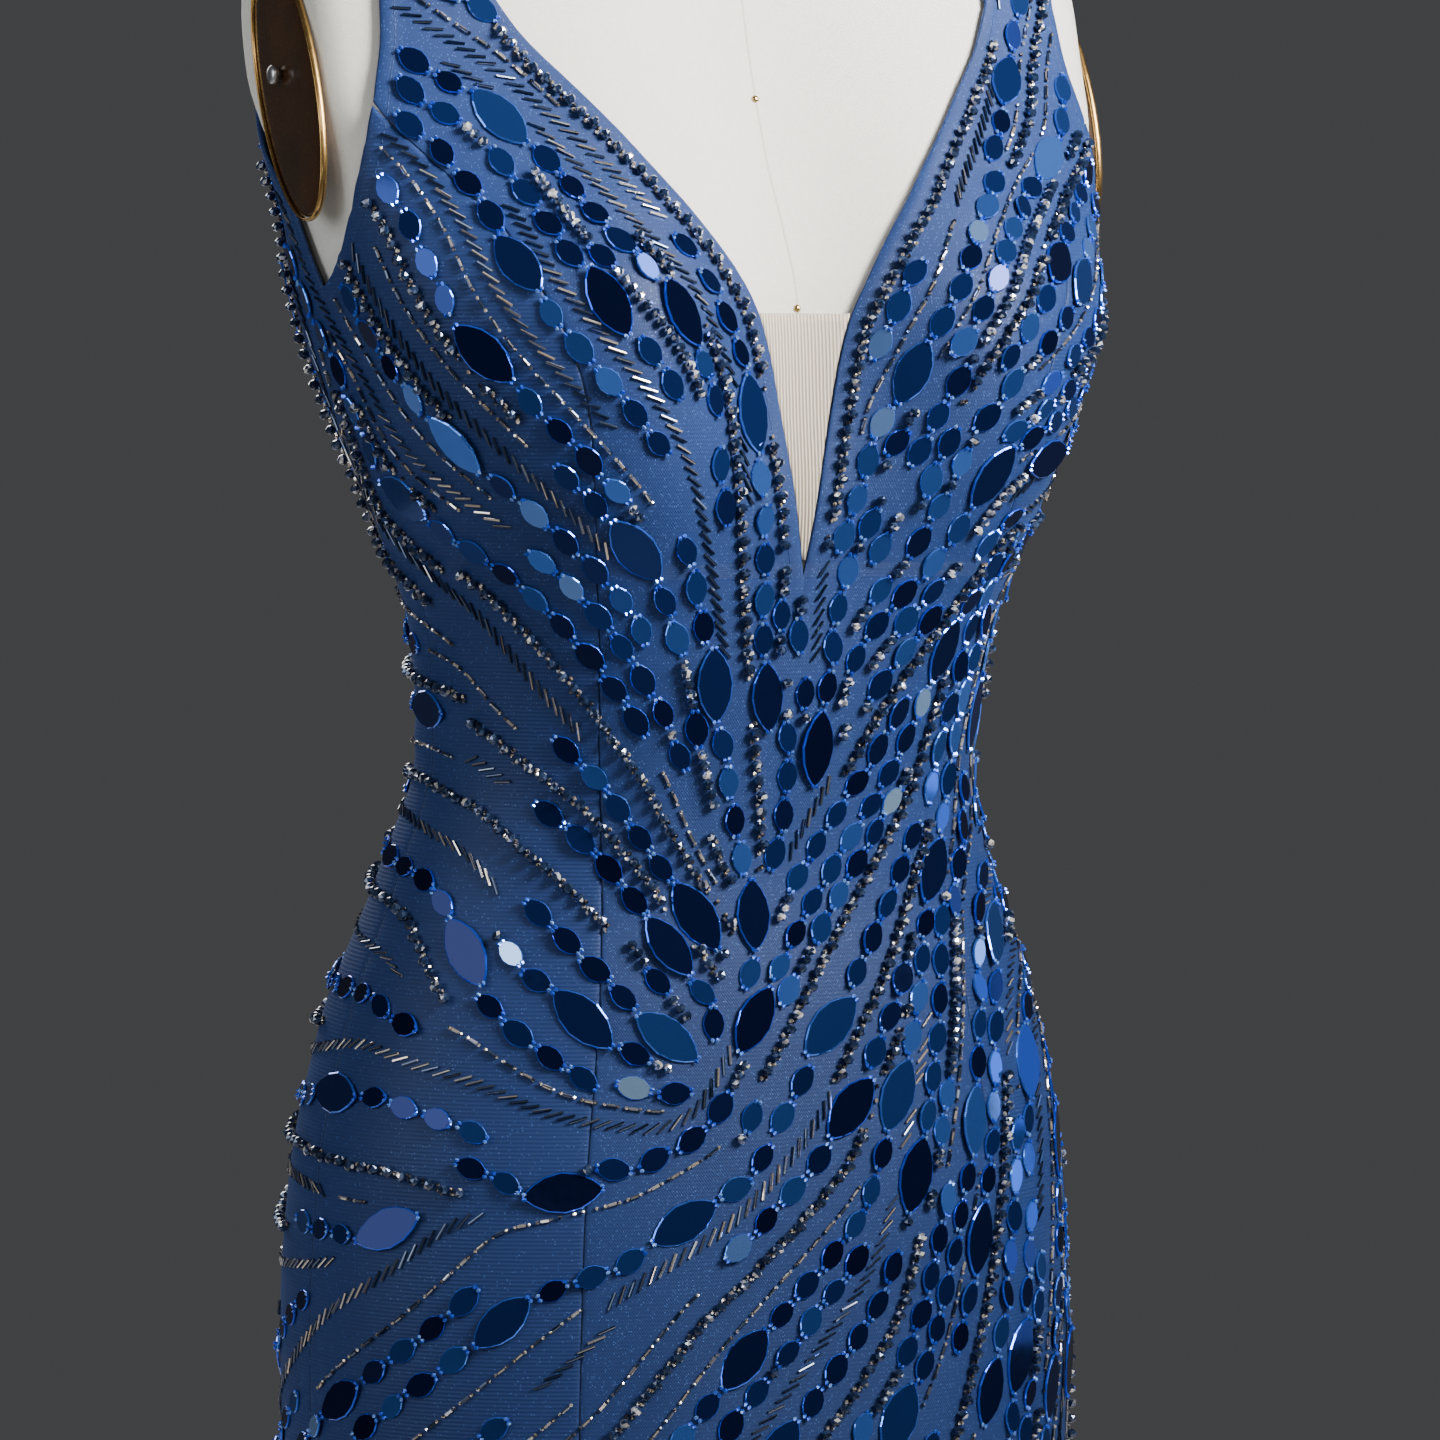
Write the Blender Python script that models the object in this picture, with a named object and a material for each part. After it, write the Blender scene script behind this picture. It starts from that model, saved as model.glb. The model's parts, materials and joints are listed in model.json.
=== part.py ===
"""Evening gown on a limbless dress form, on a round base.

Every cloth panel is worked out on one body surface. A point of that surface
is named by its angle round the body (0 at the front, +90 degrees at the
wearer's left side, 180 at the back) and its height over the waist. Sizes in
the tables are millimetres; the finished solids are in metres, with the floor
at z = 0 and the wearer facing -Y.
"""
import math

import bpy
import numpy as np

MM = 0.001
WAIST_HEIGHT = 1060.0

# ---------------------------------------------------------------- body shape

SECTION_COLUMNS = ("over_waist", "half_width", "middle", "front_depth",
                   "back_depth", "front_square", "back_square")
SECTIONS = (
    (-1048, 283.0, 5, 270, 300, 2.00, 2.00),    # hem
    (-980, 266.0, 6, 252, 282, 2.00, 2.00),
    (-900, 245.0, 8, 232, 258, 2.00, 2.00),
    (-800, 214.0, 9, 203, 222, 2.00, 2.00),
    (-700, 190.0, 10, 178, 192, 2.00, 2.00),
    (-620, 179.0, 10, 164, 174, 2.00, 2.00),    # knee
    (-500, 172.0, 11, 148, 155, 2.05, 2.05),
    (-400, 172.0, 12, 137, 146, 2.10, 2.10),
    (-320, 173.5, 13, 130, 140, 2.15, 2.15),
    (-236, 174.5, 13, 122, 136, 2.20, 2.20),    # hip
    (-180, 171.5, 12, 117, 130, 2.20, 2.20),
    (-110, 158.0, 9, 105, 114, 2.20, 2.20),
    (-50, 136.0, 7, 94, 92, 2.20, 2.20),
    (0, 122.0, 1, 90, 82, 2.25, 2.20),          # waist
    (50, 126.0, -3, 90, 85, 2.40, 2.20),
    (100, 141.0, -3, 91, 94, 2.80, 2.30),
    (150, 159.0, 0, 88, 104, 3.60, 2.50),
    (193, 171.0, 2, 86, 112, 4.00, 2.60),       # armhole foot
    (225, 177.0, 5, 77, 109, 3.90, 2.40),
    (250, 184.0, 10, 71, 104, 3.90, 2.35),
    (290, 197.0, 20, 69, 95, 3.10, 2.30),
    (330, 200.0, 30, 71, 78, 2.75, 2.30),
    (350, 178.0, 33, 70, 60, 2.40, 2.25),       # shoulder
    (365, 142.0, 34, 66, 50, 2.20, 2.20),
    (380, 105.0, 34, 60, 48, 2.10, 2.10),
    (395, 80.0, 33, 56, 48, 2.00, 2.00),
    (410, 64.0, 32, 53, 50, 2.00, 2.00),
    (440, 55.0, 32, 50, 50, 2.00, 2.00),        # top of the neck
)

BUST_APEX = 90.0
BUST_HEIGHT = 176.0
BUST_DEPTH = 38.0
BUST_SPREAD_IN = 44.0
BUST_SPREAD_OUT = 60.0
BUST_SPREAD_UP = 82.0
BUST_SPREAD_DOWN = 66.0

FOLD_START = -560.0
FOLD_END = -1048.0
FOLD_DEPTH = 15.0
FOLD_COUNT = 9
FOLD_SWELL = 1.6      # how late the flutes deepen on the way down
FOLD_EVEN = 0.70      # share of the flutes alike all round
FOLD_TO_FRONT = 0.30  # share that is deepest in front and behind
FOLD_SLOW = 0.28      # share of four slow waves under them

# ---------------------------------------------------------------- the pieces

WALL = 1.5            # cloth with its beaded overlay
MESH_WALL = 1.0       # sheer insert
SEAM_GAP = 0.32       # between two neighbouring panels
FORM_CLEARANCE = 2.0  # between the form and the cloth
ARM_EASE = 1.8        # more of it beside the bust, under the arms
ARM_EASE_HEIGHT = 195.0
ARM_EASE_SPREAD = 30.0
PART_GAP = 0.35       # between two hard parts

V_POINT = 77.0
FRONT_NECK = (   # over_waist, half_width
    (77, 0.0), (98, 3.6), (122, 7.8), (146, 12.5), (170, 17.5), (186, 22.5),
    (200, 30.0), (218, 42.0), (238, 57.5), (260, 75.0), (280, 91.5),
    (300, 108.0), (320, 119.0),
)
BACK_V_POINT = 150.0
BACK_NECK = (    # over_waist, half_width
    (150, 0.0), (175, 22.0), (200, 42.0), (230, 63.0), (260, 82.0),
    (290, 100.0), (320, 116.0),
)
STRAP_RIDGE_IN = 126.0
STRAP_RIDGE_OUT = 159.0

PRINCESS = (     # over_waist, angle
    (-1048, 44.0), (-300, 44.0), (-117, 44.0), (-56, 45.5), (6, 49.0),
    (52, 50.0), (100, 51.0), (142, 52.2), (170, 54.2), (193, 57.0),
    (221, 62.0), (243, 67.5), (270, 73.0),
)
ARMHOLE_FRONT = (   # over_waist, angle
    (197, 90.0), (200, 87.5), (206, 85.0), (213, 82.5), (228, 78.5),
    (244, 75.7), (257, 74.0), (270, 73.0), (283, 72.6), (300, 72.0),
    (320, 71.5),
)
ARMHOLE_BACK = (    # over_waist, angle
    (197, 90.0), (204, 91.2), (213, 92.6), (222, 93.6), (234, 94.8),
    (243, 97.0), (252, 100.0), (265, 104.5), (282, 108.0), (300, 109.7),
    (320, 110.3),
)
ARMHOLE_FOOT = 197.0
ARMHOLE_PRINCESS = 270.0
ARMHOLE_PRINCESS_ANGLE = 73.0
STRAP_START = 320.0
INSERT_TOP = 186.0
INSERT_FOOT = 84.0
INSERT_EASE = 0.15    # more gap at its slanted edges
INSERT_COLUMNS = 6

SKIRT_ROWS = (-1048, -1000, -952, -902, -850, -796, -740, -682, -622, -560,
              -495, -430, -365, -310, -268, -232, -198, -165, -132, -99,
              -66, -33, 0)
BODICE_ROWS = (0, 26, 52, 77, 90, 102, 116, 130, 144, 158, 172, 186, 200,
               214, 228, 242, 256, 270)
NECK_ROWS = (270, 283, 296, 308, 320)
BACK_RISE_STEPS = 9
BACK_ROW_BOW = 1.2    # how late a back row drops towards the V
STRAP_STEPS = 6

FRONT_COLUMNS = 8
SIDE_COLUMNS = 7
BACK_COLUMNS = 12

# -------------------------------------------------------------- form, stand

FORM_FOOT = -300.0
NECK_TOP = 440.0
FORM_ROWS = (-300, -262, -225, -190, -155, -120, -88, -58, -28, 2, 32, 62,
             90, 115, 136, 155, 171, 185, 197, 208, 220, 233, 248, 266, 288,
             310, 327, 339, 348, 355, 361, 367, 374, 383, 393, 405, 422, 440)
FORM_ANGLES = (0, 9, 18, 27, 36, 45, 54, 62, 69, 75, 80, 85, 90, 95, 100,
               106, 113, 121, 130, 140, 150, 160, 170, 180)
ARM_CUT = 184.0

PLATE_MIDDLE_Y = 7.0
PLATE_MIDDLE = 280.0
PLATE_HALF_WIDTH = 26.0
PLATE_HALF_LENGTH = 59.0
PLATE_LEAN = 25.0     # degrees that its top leans to the back
PLATE_THICK = 2.6
PLATE_ROUND = 2.2     # how far its edge is rounded in
PLATE_EDGE = 1.8
RIM_WIDE = 1.5
RIM_THICK = 3.6
PLATE_POINTS = 28
KNOB_POINTS = 12
KNOB_PROFILE = (      # distance out, radius
    (0.0, 2.4), (1.6, 2.4), (1.8, 4.0), (3.6, 4.0), (5.0, 2.2),
)
KNOB_BACK = 6.0
KNOB_UP = 5.0

CAP_PROFILE = (       # rise, share of the neck's outline
    (PART_GAP, 1.02), (8.0, 1.04), (10.6, 1.00), (12.0, 0.90),
)
BASE_HEIGHT = 22.0
BASE_PROFILE = (      # radius, height
    (200.0, 0.0), (200.0, 6.0), (196.0, 10.0), (140.0, 15.0), (44.0, 18.0),
    (30.0, BASE_HEIGHT),
)
BASE_POINTS = 40
POLE_RADIUS = 16.0
POLE_POINTS = 24

ZIP_HEIGHT = 142.0
ZIP_PIN = 4.9
SLIDER_ACROSS = (-2.8, -1.9, 1.9, 2.8)
SLIDER_OUT = (PART_GAP, 2.0, ZIP_PIN - 0.5, ZIP_PIN + 0.5)
SLIDER_ALONG = (-4.0, -0.5, 0.5, 4.0)
PULL_RING_OUT = 2.1
PULL_RING_IN = 1.15
PULL_RING_POINTS = 16
PULL_HALF_WIDTH = 1.5
PULL_PROFILE = (      # drop, half width, half thickness
    (4.2, 2.6, 0.55), (19.0, 3.3, 0.55), (22.0, 2.4, 0.55),
)

BLUE = (0.060, 0.130, 0.360, 1.0)
BEIGE = (0.640, 0.520, 0.400, 1.0)
COTTON = (0.820, 0.780, 0.700, 1.0)
BRONZE = (0.130, 0.055, 0.020, 1.0)
BRASS = (0.720, 0.500, 0.200, 1.0)
STEEL = (0.450, 0.450, 0.460, 1.0)
IRON = (0.030, 0.030, 0.032, 1.0)
ZIP_METAL = (0.080, 0.120, 0.260, 1.0)


# ------------------------------------------------------------ body functions

def smooth_curve(table, column, at):
    """A monotone cubic through one column of a table, at the heights `at`."""
    xs = np.array([row[0] for row in table], float)
    ys = np.array([row[column] for row in table], float)
    step = np.diff(xs)
    rise = np.diff(ys) / step
    slope = np.zeros_like(ys)
    slope[0] = rise[0]
    slope[-1] = rise[-1]
    for i in range(1, len(xs) - 1):
        if rise[i - 1] * rise[i] > 0:
            before = 2 * step[i] + step[i - 1]
            after = step[i] + 2 * step[i - 1]
            slope[i] = (before + after) / (before / rise[i - 1] + after / rise[i])
    at = np.clip(np.asarray(at, float), xs[0], xs[-1])
    i = np.clip(np.searchsorted(xs, at, side="right") - 1, 0, len(xs) - 2)
    t = (at - xs[i]) / step[i]
    return ((1 + 2 * t) * (1 - t) ** 2 * ys[i] + t * (1 - t) ** 2 * step[i] * slope[i]
            + t * t * (3 - 2 * t) * ys[i + 1] + t * t * (t - 1) * step[i] * slope[i + 1])


def section(height):
    return [smooth_curve(SECTIONS, k, height) for k in range(1, len(SECTION_COLUMNS))]


def bust(x, height):
    """How far the bust stands forward at this place."""
    out = 0.0
    spread_z = np.where(height > BUST_HEIGHT, BUST_SPREAD_UP, BUST_SPREAD_DOWN)
    rise = np.exp(-((height - BUST_HEIGHT) / spread_z) ** 2 / 2)
    for side in (-1, 1):
        across = side * x - BUST_APEX
        spread_x = np.where(across > 0, BUST_SPREAD_OUT, BUST_SPREAD_IN)
        out = out + np.exp(-(across / spread_x) ** 2 / 2)
    return BUST_DEPTH * out * rise


def folds(angle, height):
    """The soft flutes of the flared hem, alike on both sides."""
    grow = np.clip((FOLD_START - height) / (FOLD_START - FOLD_END), 0, 1) ** FOLD_SWELL
    wave = (FOLD_EVEN + FOLD_TO_FRONT * np.cos(2 * angle)) * np.cos(FOLD_COUNT * angle)
    wave = wave + FOLD_SLOW * np.cos(4 * angle)
    return FOLD_DEPTH * grow * wave


def figure(angle, height):
    """The body surface at an angle (radians) and a height over the waist."""
    angle = np.asarray(angle, float)
    height = np.asarray(height, float) + 0.0 * angle
    width, middle, front, back, front_square, back_square = section(height)
    sine = np.sin(angle)
    cosine = np.cos(angle)
    depth = np.where(cosine >= 0, front, back)
    square = np.where(cosine >= 0, front_square, back_square)
    reach = (np.abs(sine / width) ** square
             + np.abs(cosine / depth) ** square) ** (-1 / square)
    reach = reach + folds(angle, height)
    x = reach * sine
    y = middle - reach * cosine
    facing = np.clip(cosine, 0, 1)
    y = y - bust(x, height) * (1 - (1 - facing) ** 2)
    return np.stack([x, y, height + WAIST_HEIGHT], axis=-1)


def outward(angle, height):
    small_angle = 0.002
    small_height = 0.3
    along = figure(angle + small_angle, height) - figure(angle - small_angle, height)
    up = figure(angle, height + small_height) - figure(angle, height - small_height)
    normal = np.cross(along, up)
    return normal / np.linalg.norm(normal, axis=-1, keepdims=True)


def lifted(angle, height, out):
    return figure(angle, height) + out * outward(angle, height)


def reach_at(angle, height):
    flat = figure(angle, height)[..., :2]
    return np.linalg.norm(flat, axis=-1)


def angle_of(x, height, at_back=False):
    """The angle of the surface point that lies `x` from the middle plane."""
    width, _, front, back, front_square, back_square = section(height)
    depth = back if at_back else front
    square = back_square if at_back else front_square
    share = np.clip(np.abs(x) / width, 0, 1) ** square
    inward = depth * (1 - share) ** (1 / square)
    angle = np.arctan2(x, inward)
    return math.pi - angle if at_back else angle


def ridge_height(x):
    """The height of the top of the shoulder, `x` from the middle plane."""
    heights = np.linspace(335, 400, 400)
    widths = smooth_curve(SECTIONS, 1, heights)
    return np.interp(-np.asarray(x, float), -widths, heights)


def seam_angle(table, height):
    return np.radians(smooth_curve(table, 1, height))


def across_gap(angle, height):
    """Half a seam gap, as an angle."""
    return 0.5 * SEAM_GAP / reach_at(angle, height)


# --------------------------------------------------------------- cloth grids

class Chart:
    """Points named by (angle, height), joined by four-sided faces."""

    def __init__(self):
        self.points = []
        self.quads = []

    def add_row(self, angles, heights):
        first = len(self.points)
        self.points.extend(zip(np.asarray(angles, float), np.asarray(heights, float)))
        return list(range(first, len(self.points)))

    def join(self, low, high):
        for i in range(len(low) - 1):
            self.quads.append((low[i], low[i + 1], high[i + 1], high[i]))

    def mirrored(self):
        twin = Chart()
        twin.points = [(-angle, height) for angle, height in self.points]
        twin.quads = [(a, d, c, b) for a, b, c, d in self.quads]
        return twin


def join_rows(chart, rows):
    for low, high in zip(rows, rows[1:]):
        chart.join(low, high)


def strap_row(x_in, x_out, turn, columns, at_back):
    """One row of a strap, `turn` of the way (0 to 1) up to the shoulder top."""
    x = np.linspace(x_in, x_out, columns + 1)
    height = STRAP_START + (ridge_height(x) - STRAP_START) * math.sin(turn * math.pi / 2)
    angle = angle_of(x, height, at_back)
    if turn == 1:
        away = across_gap(math.pi / 2, height)
        angle = math.pi / 2 + (away if at_back else -away)
    return angle, height


def front_centre_chart():
    chart = Chart()
    rows = []
    for height in SKIRT_ROWS + BODICE_ROWS[1:BODICE_ROWS.index(V_POINT) + 1]:
        edge = seam_angle(PRINCESS, height)
        edge = edge - across_gap(edge, height)
        share = np.linspace(-1, 1, 2 * FRONT_COLUMNS + 1)
        rows.append(chart.add_row(edge * share, np.full(len(share), float(height))))
    join_rows(chart, rows)

    low_left = rows[-1][FRONT_COLUMNS:]
    low_right = rows[-1][:FRONT_COLUMNS + 1]
    neck_heights = BODICE_ROWS[BODICE_ROWS.index(V_POINT) + 1:] + NECK_ROWS[1:]
    branch = []
    for height in neck_heights:
        inner_x = float(smooth_curve(FRONT_NECK, 1, height))
        if height <= ARMHOLE_PRINCESS:
            edge = seam_angle(PRINCESS, height)
            edge = edge - across_gap(edge, height)
        else:
            edge = seam_angle(ARMHOLE_FRONT, height)
        width, _, front, _, square, _ = section(height)
        reach = ((math.sin(edge) / width) ** square
                 + (math.cos(edge) / front) ** square) ** (-1 / square)
        x = np.linspace(inner_x, float(reach * math.sin(edge)), FRONT_COLUMNS + 1)
        level = np.full(len(x), float(height))
        branch.append((angle_of(x, level), level))
    last_x = (float(smooth_curve(FRONT_NECK, 1, STRAP_START)), float(x[-1]))
    for step in range(1, STRAP_STEPS + 1):
        turn = step / STRAP_STEPS
        x_in = last_x[0] + (STRAP_RIDGE_IN - last_x[0]) * turn
        x_out = last_x[1] + (STRAP_RIDGE_OUT - last_x[1]) * turn
        branch.append(strap_row(x_in, x_out, turn, FRONT_COLUMNS, False))
    left_rows = [low_left]
    right_rows = [low_right]
    for angles, heights in branch:
        left_rows.append(chart.add_row(angles, heights))
        right_rows.append(chart.add_row(-angles[::-1], heights[::-1]))
    join_rows(chart, left_rows)
    join_rows(chart, right_rows)
    return chart


def side_front_chart():
    chart = Chart()
    share = np.linspace(0, 1, SIDE_COLUMNS + 1)
    rows = []
    for height in SKIRT_ROWS:
        inner = seam_angle(PRINCESS, height)
        inner = inner + across_gap(inner, height)
        outer = math.pi / 2
        outer = outer - across_gap(outer, height)
        rows.append(chart.add_row(inner + (outer - inner) * share,
                                  np.full(len(share), float(height))))
    first_angle = math.radians(ARMHOLE_PRINCESS_ANGLE)
    top_angles = first_angle + (math.pi / 2 - first_angle) * share
    edge_heights, edge_angles = np.array(ARMHOLE_FRONT[::-1], float).T
    tops = np.interp(top_angles, np.radians(edge_angles), edge_heights)
    tops[0] = ARMHOLE_PRINCESS
    tops[-1] = ARMHOLE_FOOT
    for height in BODICE_ROWS[1:]:
        climb = height / ARMHOLE_PRINCESS
        heights = tops * climb
        inner = seam_angle(PRINCESS, height)
        inner = inner + across_gap(inner, height)
        outer = math.pi / 2 - across_gap(math.pi / 2, heights[-1])
        rows.append(chart.add_row(inner + (outer - inner) * share, heights))
    join_rows(chart, rows)
    return chart


def back_chart():
    """The wearer's left back, from the side seam to the middle of the back."""
    chart = Chart()
    share = np.linspace(0, 1, BACK_COLUMNS + 1)
    rows = []
    for height in SKIRT_ROWS:
        side = math.pi / 2 + across_gap(math.pi / 2, height)
        middle = math.pi - across_gap(math.pi, height)
        rows.append(chart.add_row(side + (middle - side) * share,
                                  np.full(len(share), float(height))))
    for height in BODICE_ROWS[1:]:
        climb = height / ARMHOLE_PRINCESS
        heights = climb * (ARMHOLE_FOOT + (BACK_V_POINT - ARMHOLE_FOOT) * share ** BACK_ROW_BOW)
        side = math.pi / 2 + across_gap(math.pi / 2, heights[0])
        middle = math.pi - across_gap(math.pi, heights[-1])
        rows.append(chart.add_row(side + (middle - side) * share, heights))
    join_rows(chart, rows)

    upper = [rows[-1]]
    for step in range(1, BACK_RISE_STEPS + 1):
        climb = step / BACK_RISE_STEPS
        arm_height = ARMHOLE_FOOT + (STRAP_START - ARMHOLE_FOOT) * climb
        neck_height = BACK_V_POINT + (STRAP_START - BACK_V_POINT) * climb
        bow = share + (share ** BACK_ROW_BOW - share) * (1 - climb)
        heights = arm_height + (neck_height - arm_height) * bow
        arm_angle = float(seam_angle(ARMHOLE_BACK, arm_height))
        neck_x = float(smooth_curve(BACK_NECK, 1, neck_height))
        neck_angle = float(angle_of(neck_x, neck_height, True))
        even_angle = arm_angle + (neck_angle - arm_angle) * share
        arm_x = float(flat_x(arm_angle, arm_height))
        x = arm_x + (neck_x - arm_x) * share
        by_x = angle_of(x, heights, True)
        by_x[0] = arm_angle
        by_x[-1] = neck_angle
        upper.append(chart.add_row(even_angle + (by_x - even_angle) * climb ** 2, heights))
    last_x = (float(smooth_curve(BACK_NECK, 1, STRAP_START)),
              float(flat_x(float(seam_angle(ARMHOLE_BACK, STRAP_START)), STRAP_START)))
    for step in range(1, STRAP_STEPS + 1):
        turn = step / STRAP_STEPS
        x_in = last_x[0] + (STRAP_RIDGE_IN - last_x[0]) * turn
        x_out = last_x[1] + (STRAP_RIDGE_OUT - last_x[1]) * turn
        angles, heights = strap_row(x_in, x_out, turn, BACK_COLUMNS, True)
        upper.append(chart.add_row(angles[::-1], heights[::-1]))
    join_rows(chart, upper)
    return chart


def flat_x(angle, height):
    """How far from the middle plane a surface point lies, the bust left out."""
    width, _, front, back, front_square, back_square = section(height)
    at_back = math.cos(angle) < 0
    depth = back if at_back else front
    square = back_square if at_back else front_square
    reach = (abs(math.sin(angle) / width) ** square
             + abs(math.cos(angle) / depth) ** square) ** (-1 / square)
    return reach * math.sin(angle)


def insert_chart():
    chart = Chart()
    heights = [INSERT_FOOT] + [h for h in BODICE_ROWS if INSERT_FOOT < h <= INSERT_TOP]
    rows = []
    for height in heights:
        half = float(smooth_curve(FRONT_NECK, 1, height)) - SEAM_GAP - INSERT_EASE
        x = half * np.linspace(-1, 1, INSERT_COLUMNS + 1)
        level = np.full(len(x), float(height))
        rows.append(chart.add_row(angle_of(x, level), level))
    join_rows(chart, rows)
    return chart


# -------------------------------------------------------------- making solids

def start_clean():
    for thing in list(bpy.data.objects):
        bpy.data.objects.remove(thing)


def material(name, colour, roughness, metallic=0.0):
    made = bpy.data.materials.new(name)
    made.use_nodes = True
    shader = made.node_tree.nodes["Principled BSDF"]
    shader.inputs["Base Color"].default_value = colour
    shader.inputs["Roughness"].default_value = roughness
    shader.inputs["Metallic"].default_value = metallic
    made.diffuse_color = colour
    return made


def solid(name, points, faces, finish):
    """One closed body from points in millimetres."""
    mesh = bpy.data.meshes.new(name)
    mesh.from_pydata((np.asarray(points, float) * MM).tolist(), [],
                     [tuple(int(i) for i in face) for face in faces])
    mesh.validate()
    mesh.update()
    mesh.materials.append(finish)
    thing = bpy.data.objects.new(name, mesh)
    bpy.context.scene.collection.objects.link(thing)
    return thing


def open_edges(faces):
    """Edges that only one face uses, each in that face's own direction."""
    used = set()
    for face in faces:
        for a, b in zip(face, face[1:] + face[:1]):
            used.add((a, b))
    return [edge for edge in used if (edge[1], edge[0]) not in used]


def cloth(name, chart, wall, finish):
    """A panel with a real wall, its inside on the body surface.

    Both sides of the wall are split along the same diagonals, so that the
    wall keeps its thickness where the cloth twists.
    """
    angle, height = np.array(chart.points).T
    base = figure(angle, height)
    normal = outward(angle, height)
    count = len(base)
    points = np.concatenate([base + wall * normal, base])
    outside = []
    for a, b, c, d in chart.quads:
        outside.extend(((a, b, c), (a, c, d)))
    inside = [(c + count, b + count, a + count) for a, b, c in outside]
    rim = [(b, a, a + count, b + count) for a, b in sorted(open_edges(outside))]
    return solid(name, points, outside + inside + rim, finish)


def stacked(name, rings, finish):
    """A closed body from rings of points, lowest first, each counter-clockwise."""
    count = len(rings[0])
    points = [point for ring in rings for point in ring]
    faces = []
    for k in range(len(rings) - 1):
        for i in range(count):
            j = (i + 1) % count
            low = k * count
            high = low + count
            faces.append((low + i, low + j, high + j, high + i))
    foot = len(points)
    points.append(tuple(np.mean(np.asarray(rings[0]), axis=0)))
    points.append(tuple(np.mean(np.asarray(rings[-1]), axis=0)))
    top = (len(rings) - 1) * count
    for i in range(count):
        j = (i + 1) % count
        faces.append((j, i, foot))
        faces.append((top + i, top + j, foot + 1))
    return solid(name, points, faces, finish)


def round_ring(radius, z, count):
    turn = np.arange(count) * 2 * math.pi / count
    return np.stack([radius * np.cos(turn), radius * np.sin(turn), np.full(count, z)],
                    axis=1)


def torso_ring(height):
    """A ring of the form, counter-clockwise from above, cut flat at the arms."""
    half = np.radians(np.array(FORM_ANGLES, float))
    angles = np.concatenate([half, -half[-2:0:-1]])
    ease = math.exp(-((height - ARM_EASE_HEIGHT) / ARM_EASE_SPREAD) ** 2 / 2)
    clear = FORM_CLEARANCE + ARM_EASE * ease * np.sin(angles) ** 2
    level = np.full(len(angles), float(height))
    ring = figure(angles, level) - clear[:, None] * outward(angles, level)
    ring[:, 0] = np.clip(ring[:, 0], -ARM_CUT, ARM_CUT)
    if height in (FORM_FOOT, NECK_TOP):
        ring[:, 2] = height + WAIST_HEIGHT
    return ring


def plate_outline(grow):
    """The oval of an arm plate in the side plane, its top leaning back."""
    turn = np.arange(PLATE_POINTS) * 2 * math.pi / PLATE_POINTS
    across = (PLATE_HALF_WIDTH + grow) * np.cos(turn)
    along = (PLATE_HALF_LENGTH + grow) * np.sin(turn)
    lean = math.radians(PLATE_LEAN)
    y = PLATE_MIDDLE_Y + across * math.cos(lean) + along * math.sin(lean)
    z = WAIST_HEIGHT + PLATE_MIDDLE - across * math.sin(lean) + along * math.cos(lean)
    return y, z


def side_disc(name, side, layers, finish):
    """A disc that faces sideways; each layer is (distance out, outline grow)."""
    rings = []
    for out, grow in layers:
        y, z = plate_outline(grow)
        rings.append(np.stack([np.full(len(y), side * (ARM_CUT + out)), y, z], axis=1))
    if side < 0:
        rings = [ring[::-1] for ring in rings]
    return stacked(name, rings, finish)


def side_rim(name, side, finish):
    """A band round an arm plate, of rectangular cross-section."""
    corners = ((PART_GAP, PART_GAP), (PART_GAP, PART_GAP + RIM_WIDE),
               (RIM_THICK, PART_GAP + RIM_WIDE), (RIM_THICK, PART_GAP))
    rings = []
    for out, grow in corners:
        y, z = plate_outline(grow)
        rings.append(np.stack([np.full(len(y), side * (ARM_CUT + out)), y, z], axis=1))
    count = PLATE_POINTS
    faces = []
    for k in range(4):
        for i in range(count):
            j = (i + 1) % count
            a = k * count
            b = (k + 1) % 4 * count
            face = (a + i, a + j, b + j, b + i)
            faces.append(face if side > 0 else face[::-1])
    return solid(name, np.concatenate(rings), faces, finish)


def knob(name, side, finish):
    turn = np.arange(KNOB_POINTS) * 2 * math.pi / KNOB_POINTS
    start = PART_GAP * 2 + PLATE_THICK
    rings = []
    for out, radius in KNOB_PROFILE:
        x = np.full(KNOB_POINTS, side * (ARM_CUT + start + out))
        y = PLATE_MIDDLE_Y + KNOB_BACK + radius * np.cos(turn)
        z = WAIST_HEIGHT + PLATE_MIDDLE + KNOB_UP + radius * np.sin(turn)
        rings.append(np.stack([x, y, z], axis=1))
    if side < 0:
        rings = [ring[::-1] for ring in rings]
    return stacked(name, rings, finish)


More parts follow.
